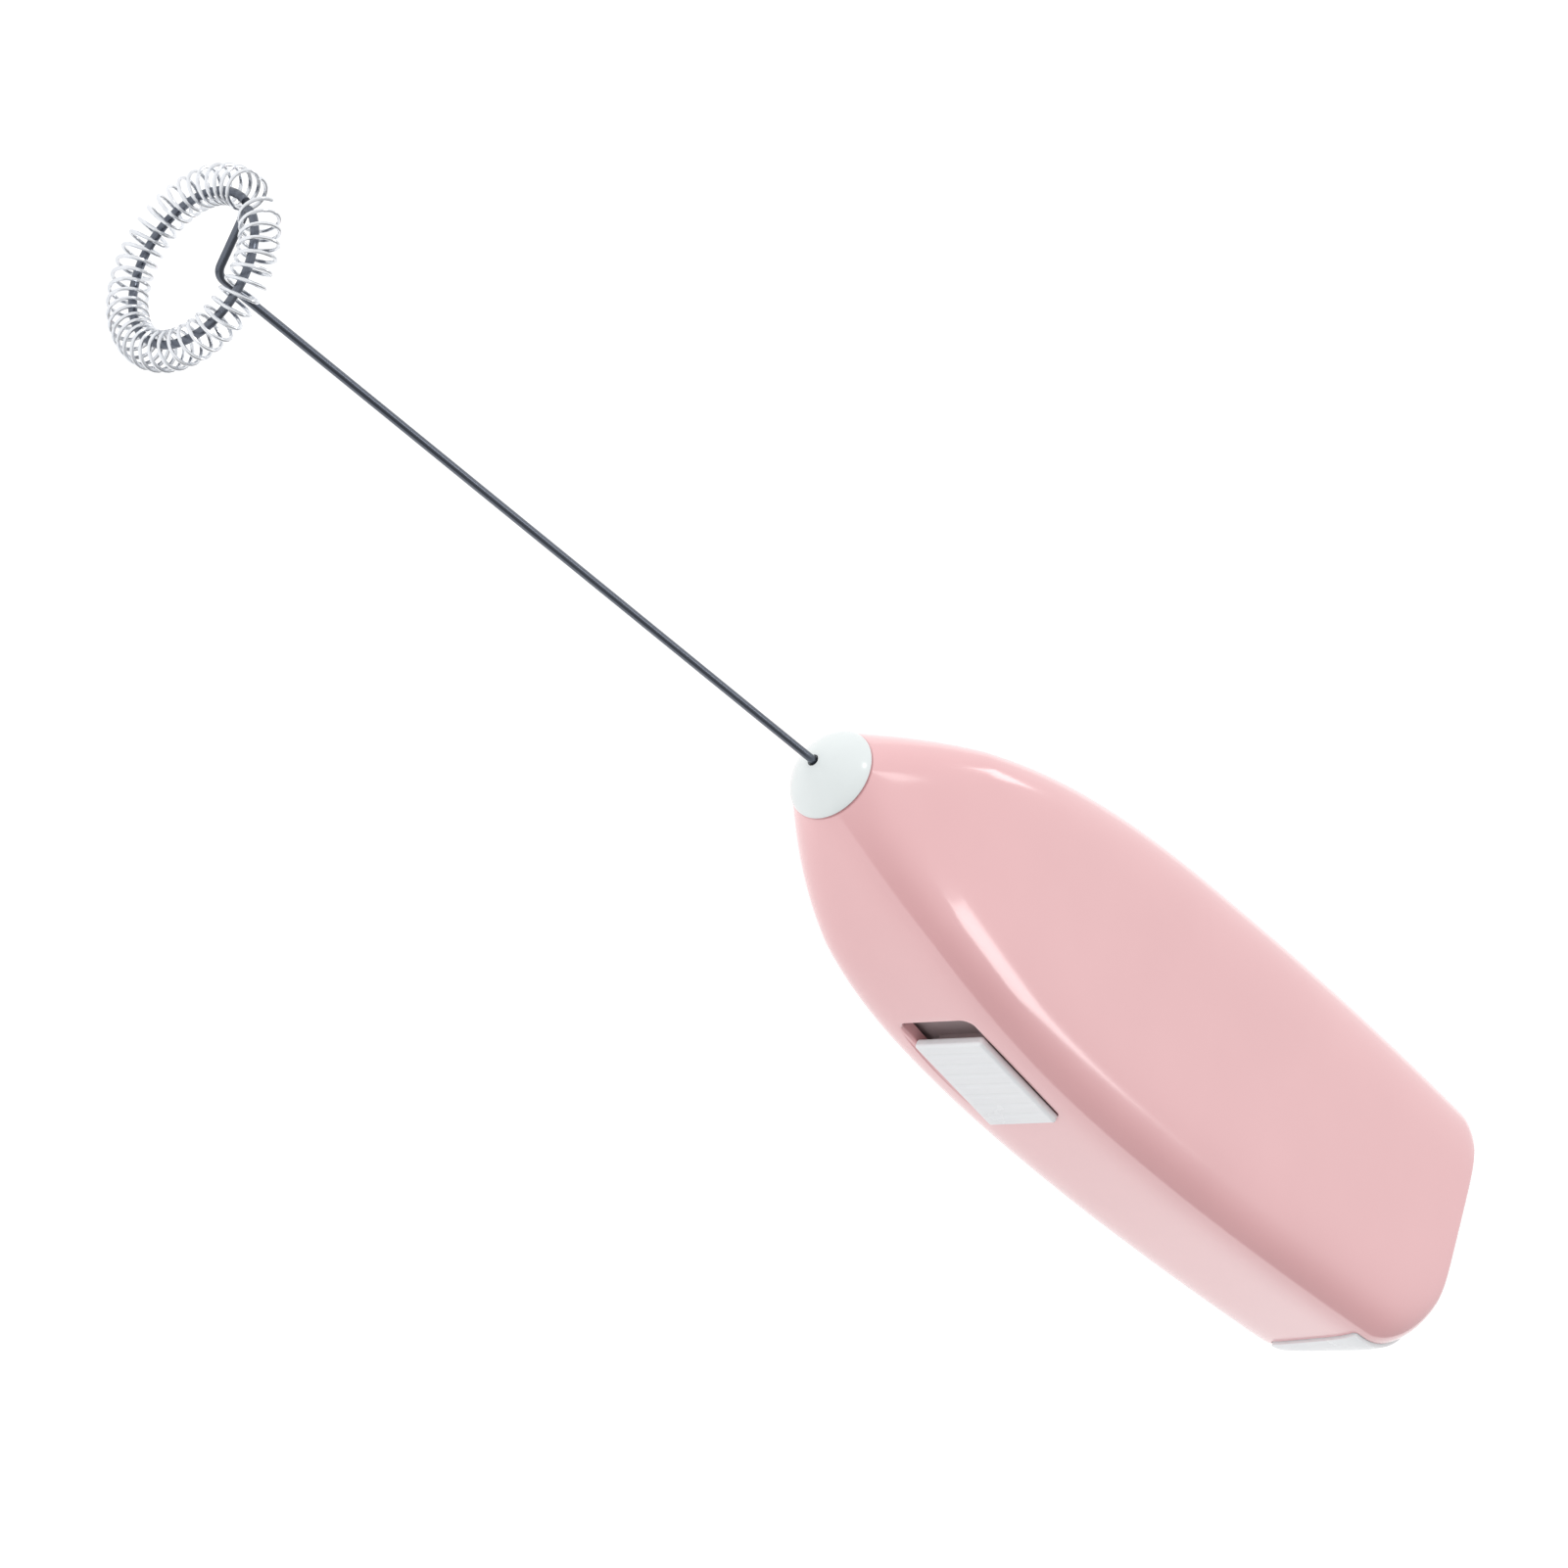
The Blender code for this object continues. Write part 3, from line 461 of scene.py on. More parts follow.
@dataclass(frozen=True)
class Metal(Finish):
    """Bare or plated metal: the default refractive index, sheen set by how it was drawn or rolled."""

    def shader_values(self) -> dict:
        """A full metal."""
        return {"Metallic": 1.0}


@dataclass(frozen=True)
class Lit(Finish):
    """A diffusing sheet with light behind it."""

    glow: float = 0.86

    def shader_values(self) -> dict:
        """An even white glow."""
        return {"Emission Color": (1.0, 1.0, 1.0, 1.0), "Emission Strength": self.glow}


@dataclass(frozen=True)
class CellJacket(Moulded):
    """Shrink film on a dry cell: dark body, a plain pale grey band at the plus end, bare steel nub."""

    band: str = "#c3c7c9"
    steel: str = "#b9bab8"
    band_mm: float = 13.0           # how far the band reaches from the plus end
    nub_mm: float = 1.3             # and the bare steel
    nub_x: float = 0.0              # where the plus end stands
    way: float = 1.0                # the side of it that the body lies on

    def colour_socket(self, tree: bpy.types.NodeTree) -> bpy.types.NodeSocket:
        """Steel next to the plus end, then the band, then the jacket.

        Args:
            tree: the material's node tree.

        Returns:
            The socket that gives the colour.
        """
        layer = Finish.colour_socket(self, tree)
        position = add(tree, "ShaderNodeTexCoord", {}).outputs["Object"]
        where = add(tree, "ShaderNodeSeparateXYZ", {0: position}).outputs["X"]
        along = add(tree, "ShaderNodeMath", {0: where, 1: self.nub_x}, operation="SUBTRACT")
        far = add(tree, "ShaderNodeMath", {0: along.outputs[0], 1: self.way}, operation="MULTIPLY")
        for reach_mm, code in ((self.band_mm, self.band), (self.nub_mm, self.steel)):
            past = add(tree, "ShaderNodeMath", {0: far.outputs[0], 1: reach_mm * MM},
                       operation="GREATER_THAN")
            mix = add(tree, "ShaderNodeMix",
                      {"Factor": past.outputs[0], MIX_A: linear(code), MIX_B: layer}, data_type="RGBA")
            layer = mix.outputs[MIX_RESULT]
        return layer


# Gloss pink ABS from a polished tool: a clear highlight and very little texture.
PINK_ABS = Gloss("pink_abs", "#e8b0b3", "#e5adb0", 0.16, 0.03, mottle_mm=14, grain_mm=1.6,
                 grain_depth_mm=0.0006)
# White ABS, a little softer in its gloss, faintly grey.
WHITE_ABS = Moulded("white_abs", "#eceef0", "#e8eaed", 0.24, 0.04, mottle_mm=9, grain_mm=1.0,
                    grain_depth_mm=0.0005)
# The nose's white ABS: a little greyer than the door's.
NOSE_ABS = Moulded("white_abs_nose", "#e1e7e7", "#dde3e3", 0.2, 0.03, mottle_mm=9, grain_mm=1.0,
                   grain_depth_mm=0.0005)
# Undyed ABS of the inner frame, unpolished tool, so a satin surface.
NATURAL_ABS = Moulded("natural_abs", "#dcd9cd", "#d2cdbd", 0.42, 0.08, grain_mm=0.35,
                      grain_depth_mm=0.006)
# Warm grey acetal of the slider's runner, satin from the tool; its colour made paler than the acetal's own
# as painted light, to lift the shaded slot.
GREY_ACETAL = Moulded("grey_acetal", "#ece0e1", "#e6d9da", 0.42, 0.08, grain_mm=0.4,
                      grain_depth_mm=0.003, ior=1.48)
# Paper phenolic board: brown-black and dull.
PHENOLIC = Moulded("paper_phenolic", "#4a3526", "#3a2a1f", 0.5, 0.1, grain_mm=0.4,
                   grain_depth_mm=0.01, stretch=(1.0, 1.0, 4.0))
# Hard drawn stainless wire, lines along its length; its colour a dark blue-grey, a painted reflection of
# the room it mirrors.
DRAWN_STEEL = Metal("drawn_stainless_wire", "#6b707a", "#5f646e", 0.2, 0.1, mottle_mm=3, grain_mm=0.12,
                    grain_depth_mm=0.002, stretch=(0.05, 1.0, 1.0), place=Place.LAY)
# Bright spring wire of the coil: the same steel, polished and paler.
SPRING_STEEL = Metal("bright_spring_wire", "#e6e8ec", "#dcdfe4", 0.16, 0.08, mottle_mm=3, grain_mm=0.12,
                     grain_depth_mm=0.001, stretch=(0.05, 1.0, 1.0), place=Place.LAY)
# Zinc-plated drawn steel of the motor can: pale, slightly mottled.
ZINC_STEEL = Metal("zinc_plated_steel", "#c4c6c8", "#b4b7bb", 0.32, 0.12, grain_mm=0.3,
                   grain_depth_mm=0.003)
# Ground shaft steel: bright, with fine rings round it that the wheel left.
GROUND_STEEL = Metal("ground_steel", "#b8babd", "#a8abaf", 0.18, 0.08, grain_mm=0.15,
                     grain_depth_mm=0.001, stretch=(6.0, 1.0, 1.0))
# Stamped silicon-steel laminations: 0.35 mm sheets that show as fine lines across the stack.
LAMINATION = Metal("silicon_steel_laminations", "#6d7076", "#4d5056", 0.45, 0.1, mottle_mm=0.5,
                   grain_mm=0.7, grain_depth_mm=0.05, stretch=(1.0, 0.02, 0.02))
# Sintered bronze of the bushings: brown and matt, its pores holding oil.
SINTERED_BRONZE = Metal("sintered_bronze", "#9a7440", "#7f5e33", 0.5, 0.15, grain_mm=0.25,
                        grain_depth_mm=0.02)
# Rolled brass strip, stamped: warm and fairly bright, with rolling lines along it.
ROLLED_BRASS = Metal("rolled_brass", "#c9a55a", "#bb9548", 0.28, 0.12, grain_mm=0.2,
                     grain_depth_mm=0.003, stretch=(0.15, 1.0, 1.0))
# Enamelled copper winding wire: 0.3 mm turns as ridges along the coil, glossy and red-brown.
ENAMELLED_COPPER = Metal("enamelled_copper_wire", "#a6522b", "#8a3f1f", 0.3, 0.1, mottle_mm=0.8,
                         grain_mm=0.3, grain_depth_mm=0.08, stretch=(0.05, 1.0, 1.0))
# Nickel-plated spring steel of the battery contacts: bright with a slightly warm tone.
NICKEL_PLATE = Metal("nickel_plated_spring_steel", "#c9c5bd", "#b7b2a8", 0.22, 0.1, grain_mm=0.2,
                     grain_depth_mm=0.002)
# Sintered ferrite of the magnets: charcoal and rough, like fine stone.
FERRITE = Moulded("sintered_ferrite", "#2c2c2f", "#222225", 0.6, 0.15, grain_mm=0.3,
                  grain_depth_mm=0.02)
# Moulded nitrile rubber of the shaft seal: black, dull, without a highlight.
SEAL_RUBBER = Moulded("nitrile_rubber", "#1c1c1e", "#171719", 0.7, 0.1, grain_mm=0.3,
                      grain_depth_mm=0.01, ior=1.52)
# Extruded PVC insulation of the leads: a soft waxy sheen.
RED_PVC = Moulded("red_pvc_insulation", "#b3221f", "#9c1a18", 0.38, 0.1, grain_mm=0.5,
                  grain_depth_mm=0.005)
BLACK_PVC = Moulded("black_pvc_insulation", "#1d1d1f", "#151517", 0.38, 0.1, grain_mm=0.5,
                    grain_depth_mm=0.005)
# Opal acrylic of a light table, lit from under, so that shadows on it are faint.
LIT_ACRYLIC = Lit("opal_acrylic_table", "#8f8f8f", "#8c8c8c", 0.6, 0.05, mottle_mm=300, grain_mm=2.0,
                  grain_depth_mm=0.01)


# ---------------------------------------------------------------- handle

@dataclass
class HandleForm:
    """The handle's outer form. Each half width grows from the seam with the distance s from it as
    seam + (full - seam) (1 - (1 - s / run) ^ power), and a section is |y/a|^p + |z/b|^p = 1 with its
    own a on the switch side and on the back."""

    front: float = 18.3 * MM
    back: float = 16.7 * MM
    thick: float = 10.1 * MM
    rise: float = 1.3 * MM
    seam: float = 5.15 * MM
    front_run: tuple[float, float] = (87.0 * MM, 3.93)
    back_run: tuple[float, float] = (59.6 * MM, 2.47)
    thick_run: tuple[float, float] = (33.2 * MM, 2.37)
    rise_run: tuple[float, float] = (30.0 * MM, 2.5)
    squareness: float = 5.5
    square_run: tuple[float, float] = (16.0 * MM, 0.9)
    ray_spread: float = 1.35        # how far a ring's points are drawn towards its narrow sides
    nose_run: float = 34.0 * MM     # the length near the nose with closer rings
    front_corner: float = 8.6 * MM
    back_corner: float = 3.1 * MM
    end_corner: float = 0.8 * MM
    taper_run: float = 50.0 * MM
    front_taper: float = 0.086
    back_taper: float = 0.124
    wall: float = 1.6 * MM
    butt_x: float = 0.0
    axis_y: float = 0.0
    axis_z: float = 0.0
    length: float = 0.0

    def read_frame(self) -> None:
        """Takes the handle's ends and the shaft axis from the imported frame."""
        low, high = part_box("outer_shell")
        spin = next(j for j in frame["joints"] if j["name"] == "whisk_spin")
        self.butt_x = high.x
        self.length = high.x - low.x
        self.axis_y, self.axis_z = spin["pos_m"][1:]

    def place(self, u: np.ndarray, y: np.ndarray, z: np.ndarray) -> np.ndarray:
        """Points from the distance up from the butt and the offsets from the shaft axis."""
        return np.stack(np.broadcast_arrays(self.butt_x - u, self.axis_y + y, self.axis_z + z), axis=-1)

    def grown(self, s: np.ndarray, run: tuple[float, float], full: float) -> np.ndarray:
        """Half width at s from the seam."""
        left = 1.0 - np.clip(s / run[0], 0.0, 1.0)
        return self.seam + (full - self.seam) * (1.0 - left ** run[1])

    def rounding(self, u: np.ndarray, radius: float) -> np.ndarray:
        """What a butt corner of this radius takes off a side at u: r - sqrt(r^2 - (r - u)^2)."""
        inside = np.clip(radius - u, 0.0, radius)
        return radius - np.sqrt(radius ** 2 - inside ** 2)

    def centre(self, u: np.ndarray) -> np.ndarray:
        """How far the section's middle lies above the shaft axis, below zero past the nose."""
        left = 1.0 - np.clip((self.length - u) / self.rise_run[0], 0.0, 1.0)
        return -self.rise * (1.0 - left ** self.rise_run[1])

    def sections(self, u: np.ndarray, inset: np.ndarray | float, count: int = 224) -> np.ndarray:
        """Section rings.

        Args:
            u: distances from the butt.
            inset: how far every side is moved in, one or one for each ring.
            count: points in a ring.

        Returns:
            Points, rings by count by three, on r(a) = (|cos a / A|^p + |sin a / B|^p) ^ (-1/p).
        """
        u = np.asarray(u, float)[:, None]
        inset = np.broadcast_to(np.asarray(inset, float), (len(u),))[:, None]
        s = self.length - u
        butt = (1.0 - np.clip(u / self.taper_run, 0.0, 1.0)) ** 2
        front = self.grown(s, self.front_run, self.front) * (1 - self.front_taper * butt)
        back = self.grown(s, self.back_run, self.back) * (1 - self.back_taper * butt)
        front = front - self.rounding(u, self.front_corner) - inset
        back = back - self.rounding(u, self.back_corner) - inset
        thick = self.grown(s, self.thick_run, self.thick) - self.rounding(u, self.end_corner) - inset
        squared = np.clip(s / self.square_run[0], 0.0, 1.0) ** self.square_run[1]
        power = 2.0 + (self.squareness - 2.0) * squared
        angle = (np.arange(count) + 0.5) * TURN / count
        # Rays are spread on an ellipse of the section's own proportions, so corners get their share.
        c, h = np.cos(angle) * self.ray_spread, np.sin(angle)
        side = np.where(c > 0, back, front)
        reach = (np.abs(c / side) ** power + np.abs(h / thick) ** power) ** (-1.0 / power)
        return self.place(u, c * reach, h * reach + self.centre(u))

    def stations(self, start: float, end: float, count: int) -> np.ndarray:
        """Distances from the butt, closer at the butt's corner and at the nose.

        Args:
            start: the first distance.
            end: the last distance.
            count: rings along the middle of a whole handle.

        Returns:
            Rising distances from start to end.
        """
        bend_end = self.front_corner * 1.1
        corner = np.concatenate([eased(0.0, self.end_corner, 8)[:-1],
                                 spread(self.end_corner, bend_end, 24)])
        nose = self.length - eased(0.0, self.nose_run, 54)[::-1]
        middle = spread(bend_end, self.length - self.nose_run, count)[1:-1]
        whole = np.concatenate([corner, middle, nose])
        apart = 0.02 * MM
        inner = whole[(whole > start + apart) & (whole < end - apart)]
        return np.concatenate([[start], inner, [end]])

    def solid(self, name: str, start: float, end: float, inset: float) -> bpy.types.Object:
        """A solid slice of the form, moved in by inset."""
        return skin(name, self.sections(self.stations(start, end, 50), inset))


@dataclass
class Handle:
    """Shell, nose and battery door."""

    form: HandleForm
    gap: float = 0.3 * MM
    edge: float = 0.12 * MM
    door_front: float = 9.7 * MM
    door_low: float = 5.9 * MM      # how far the switch-side lip reaches down from the middle
    door_high: float = 6.9 * MM     # and up
    door_gap: float = 0.12 * MM
    door_lean: float = 0.14         # slope of its edge across the face
    door_proud: float = 0.35 * MM
    door_back: float = 6.5 * MM
    door_half: float = 8.1 * MM
    door_plate: float = 3.4 * MM
    door_inner: tuple[float, float] = (5.0 * MM, 9.4 * MM)      # where its openings end, from the axis
    door_reach: tuple[float, float] = (3.0 * MM, 4.0 * MM)      # how far cutters pass sides and butt
    lip_slice: tuple[float, float] = (12.0 * MM, 14.0 * MM)     # lengths the lips are cut and hollowed from
    stencil_edge: float = 0.6 * MM
    post_span: tuple[float, float] = (3.0 * MM, 6.0 * MM)       # the bridge's post, from the butt
    post_low: tuple[float, float] = (-6.95 * MM, -5.3 * MM)
    post_high: tuple[float, float] = (5.05 * MM, 2.7 * MM)
    cap_height: float = 3.3 * MM
    cap_bore: float = 0.65 * MM
    cap_fullness: float = 1.35
    cap_gap: float = 0.2 * MM
    cap_land: float = 0.1 * MM      # the small flat at the dome's rim and round its bore
    cap_plate: float = 0.3 * MM
    skirt: float = 2.4 * MM         # the ring that reaches into the shell
    skirt_wall: float = 0.7 * MM

    def shell(self) -> bpy.types.Object:
        """The pink shell: an outer and an inner skin joined round both ends, then opened.

        Returns:
            The shell.
        """
        form = self.form
        hair, clear = 0.01 * MM, 0.4 * MM
        outer = form.stations(0.0, form.length, 70)
        inner = form.length - spread(0.0, form.length, 60)
        inner = inner[(inner > clear) & (inner < form.length - clear)]
        u = np.concatenate([[0.0], outer[1:-1], [form.length - self.edge, form.length, form.length,
                            form.length - hair], inner, [hair, 0.0]])
        low_wall = form.wall - self.edge
        inset = np.concatenate([[self.edge], 0.0 * outer[1:-1], [0.0, self.edge, low_wall, form.wall],
                                0.0 * inner + form.wall, [form.wall, low_wall]])
        order = np.concatenate([[0.0], outer[1:-1], [form.length - self.edge]])
        keep = np.concatenate([np.argsort(order, kind="stable"), np.arange(len(order), len(u))])
        shell = skin("handle_shell", form.sections(u[keep], inset[keep]), wrap_rows=True)
        for low, high in self.door_openings(0.0):
            carve(shell, self.stencil("opening", low, high))
        return shell

    def door_openings(self, gap: float) -> list[tuple[Vector, Vector]]:
        """The two edges given to the door, the switch side first.

        Args:
            gap: how far each is moved in.

        Returns:
            A pair of low and high corners for each.
        """
        form = self.form
        z = form.axis_z - form.rise
        side, behind = self.door_reach
        front, back = self.door_inner
        rows = (
            (self.door_front - gap, -form.front - side, -front - gap, self.door_low, self.door_high),
            (self.door_back - gap, back + gap, form.back + side, self.door_half, self.door_half),
        )
        return [
            (Vector((form.butt_x - reach, form.axis_y + start, z - down + gap)),
             Vector((form.butt_x + behind, form.axis_y + end, z + up - gap)))
            for reach, start, end, down, up in rows
        ]

    def stencil(self, name: str, low: Vector, high: Vector) -> bpy.types.Object:
        """A block between two corners; the one at the switch side leans, x -= lean (z - middle).

        Args:
            name: the object's name.
            low: lowest corner.
            high: highest corner.

        Returns:
            The linked object.
        """
        block = rounded_block(name, low, high, self.stencil_edge)
        if high.y < self.form.axis_y:
            points = np.zeros(len(block.data.vertices) * 3)
            block.data.vertices.foreach_get("co", points)
            points = points.reshape(-1, 3)
            points[:, 0] -= self.door_lean * (points[:, 2] - (low.z + high.z) / 2)
            block.data.vertices.foreach_set("co", points.ravel())
            block.data.update()
        return block

    def door(self) -> bpy.types.Object:
        """The white battery door: an inner plate whose two lips lie in the shell's openings.

        Returns:
            The door.
        """
        form = self.form
        door = form.solid("door_skin", 0.5 * MM, self.door_plate, form.wall + self.gap)
        lip_end, hollow_end = self.lip_slice
        hollow_start, hollow_inset = self.door_plate - 0.4 * MM, form.wall + 0.2 * MM
        for (low, high), inset in zip(self.door_openings(self.door_gap), (-self.door_proud, 0.0)):
            lip = form.solid("lip", 0.0, lip_end, inset)
            carve(lip, self.stencil("stencil", low, high), Cut.MEET)
            carve(lip, form.solid("inside", hollow_start, hollow_end, hollow_inset))
            carve(door, lip, Cut.JOIN)
        start, end = self.post_span
        low = form.place(*np.array([end, *self.post_low]))
        high = form.place(*np.array([start, *self.post_high]))
        carve(door, rounded_block("post", Vector(low), Vector(high), 0.3 * MM), Cut.JOIN)
        return door

    def nose(self) -> bpy.types.Object:
        """The white dome the shaft comes out of, turned from a bored profile: with q its fullness,
        r = bore + (seam - bore) sin(t)^(2/q) at a height of cap_height cos(t)^(2/q).

        Returns:
            The dome.
        """
        base = self.form.length + self.cap_gap
        seam, bore = self.form.seam, self.cap_bore
        neck = seam - self.form.wall - self.gap
        t = np.linspace(0.02, math.pi / 2, 44)
        radius = bore + (seam - bore) * np.sin(t) ** (2 / self.cap_fullness)
        height = base + self.cap_land + self.cap_height * np.cos(t) ** (2 / self.cap_fullness)
        inner = neck - self.skirt_wall
        profile = np.concatenate([
            [[bore, height[0] - self.cap_land]], np.stack([radius, height], axis=1),
            [[seam - self.cap_land, base], [neck, base], [neck, base - self.skirt],
             [inner, base - self.skirt], [inner, base - self.cap_plate], [bore, base - self.cap_plate]],
        ])
        return turned("nose_dome", profile, self.form.place)

    def build(self) -> None:
        """Makes, dresses and mounts the three pieces."""
        mount(self.shell(), "handle", "pink_shell", PINK_ABS, "outer_shell")
        mount(self.nose(), "handle", "white_trim", NOSE_ABS, "nose_cap")
        mount(self.door(), "door", "white_trim", WHITE_ABS, "battery_door")


# ---------------------------------------------------------------- switch

@dataclass
class Switch:
    """The sliding thumb piece in the narrow front face, and its slot."""

    form: HandleForm
    slot: tuple[float, float] = (66.7 * MM, 85.5 * MM)
    slot_half: float = 4.6 * MM
    length: float = 15.4 * MM
    proud: float = 0.75 * MM
    pad_depth: float = 0.4 * MM
    flange_depth: float = 2.1 * MM
    setback: float = 2.0 * MM
    cover: float = 3.4 * MM        # how far the flange runs on under the open end of the slot
    gap: float = 0.3 * MM
    close: float = 0.12 * MM
    grooves: int = 7
    groove_depth: float = 0.1 * MM
    groove_half: float = 0.55 * MM
    groove_margin: float = 0.7 * MM     # plain edge beside the grooves
    groove_fade: float = 0.3 * MM
    edge: float = 0.4 * MM
    lip: float = 0.5 * MM               # radius of the slot's flared rim
    corner: float = 1.0 * MM
    cut_in: float = 3.5 * MM            # how far the slot's cutter reaches in, and out
    cut_out: float = 0.6 * MM
    runner_margin: float = 0.8 * MM
    flange_side: float = 1.3 * MM
    flange_thick: float = 1.0 * MM
    hidden_edge: float = 0.2 * MM

    def frame(self) -> Matrix:
        """The switch's frame: origin on the face at mid slot, X away from the slide, Y inwards.

        Returns:
            The matrix from this frame to the object's.
        """
        form = self.form
        ends = np.array(self.slot)
        face = form.grown(form.length - ends, form.front_run, form.front)
        slope = math.atan2(face[0] - face[1], ends[1] - ends[0])
        origin = Vector((form.butt_x - ends.mean(), form.axis_y - face.mean(), form.axis_z - form.rise))
        return Matrix.Translation(origin) @ Matrix.Rotation(-slope, 4, "Z")

    def slot_tool(self) -> bpy.types.Object:
        """A plug with a flared rim: rounded rectangles that widen by a quarter circle at the face.

        Returns:
            The cutter of the slot.
        """
        reach, corner, lip, count = (self.slot[1] - self.slot[0]) / 2, self.corner, self.lip, 96
        turn = np.linspace(0.0, math.pi / 2, 5)
        depth = np.concatenate([[self.cut_in], lip * (1 - np.sin(turn)), [-self.cut_out]])
        wide = np.concatenate([[0.0], lip * (1 - np.cos(turn)), [lip * 3.0]])
        angle = (np.arange(count) + 0.5) * TURN / count
        c, h = np.cos(angle), np.sin(angle)
        x = np.sign(c) * (reach - corner) + c * corner
        z = np.sign(h) * (self.slot_half - corner) + h * corner
        points = np.stack([
            x + c * wide[:, None], np.repeat(depth[:, None], count, 1), z + h * wide[:, None],
        ], axis=-1)
        return skin("slot_tool", self.seated(points))

    def seated(self, points: np.ndarray) -> np.ndarray:
        """Points from the switch's frame in the object's."""
        turn = np.array(self.frame())
        return points @ turn[:3, :3].T + turn[:3, 3]

    def run(self) -> tuple[float, float, float]:
        """Where the slider starts and ends along the slot, and its half width."""
        start = self.gap - (self.slot[1] - self.slot[0]) / 2
        return start, start + self.length, self.slot_half - self.gap

    def thumb(self) -> bpy.types.Object:
        """The white pad: a block with rounded edges whose top dips by d (1 - (x / w)^2)^2 at each
        groove. It fills the slot more closely than the frame's pad does.

        Returns:
            The pad.
        """
        start, end, half = self.run()
        half += self.gap - self.close
        low = Vector((-end, -self.proud, -half))
        high = Vector((self.gap - self.close - start, self.pad_depth, half))
        thumb = rounded_block("switch_thumb", low, high, self.edge, (170, 4, 14))
        mesh = thumb.data
        points = np.zeros(len(mesh.vertices) * 3)
        mesh.vertices.foreach_get("co", points)
        points = points.reshape(-1, 3)
        top = np.clip(1.0 - (points[:, 1] - low.y) / (0.5 * self.edge), 0.0, 1.0)
        centres = low.x + (high.x - low.x) * (np.arange(self.grooves) + 1.0) / (self.grooves + 1.0)
        near = np.abs(points[:, :1] - centres).min(axis=1) / self.groove_half
        dip = self.groove_depth * np.clip(1.0 - near ** 2, 0.0, 1.0) ** 2
        inside = half - self.groove_margin - np.abs(points[:, 2])
        within = np.clip(inside / self.groove_fade, 0.0, 1.0)
        points[:, 1] += top * dip * within
        mesh.vertices.foreach_set("co", self.seated(points).ravel())
        mesh.update()
        return thumb

    def carriage(self) -> bpy.types.Object:
        """The runner under the pad and the flange that keeps it behind the wall.

        Returns:
            The runner.
        """
        start, end, half = self.run()
        margin, side = self.runner_margin, self.flange_side
        runner = rounded_block(
            "switch_runner", Vector((self.setback - end, self.pad_depth + self.gap, margin - half)),
            Vector((-start - margin, self.flange_depth + self.flange_thick / 2, half - margin)),
            self.hidden_edge,
        )
        flange = rounded_block(
            "flange", Vector((-end - self.cover, self.flange_depth, -half - side)),
            Vector((-start, self.flange_depth + self.flange_thick, half + side)), self.hidden_edge,
        )
        carve(runner, flange, Cut.JOIN)
        runner.data.transform(self.frame())
        return runner

    def build(self, shell: bpy.types.Object) -> None:
        """Cuts the slot in the shell and mounts the pad and its runner.

        Args:
            shell: the handle's shell.
        """
        carve(shell, self.slot_tool())
        mount(self.thumb(), "slider", "white_trim", WHITE_ABS, "switch_slider")
        mount(self.carriage(), "slider", "grey_acetal", GREY_ACETAL, "switch_carriage")


# ---------------------------------------------------------------- whisk

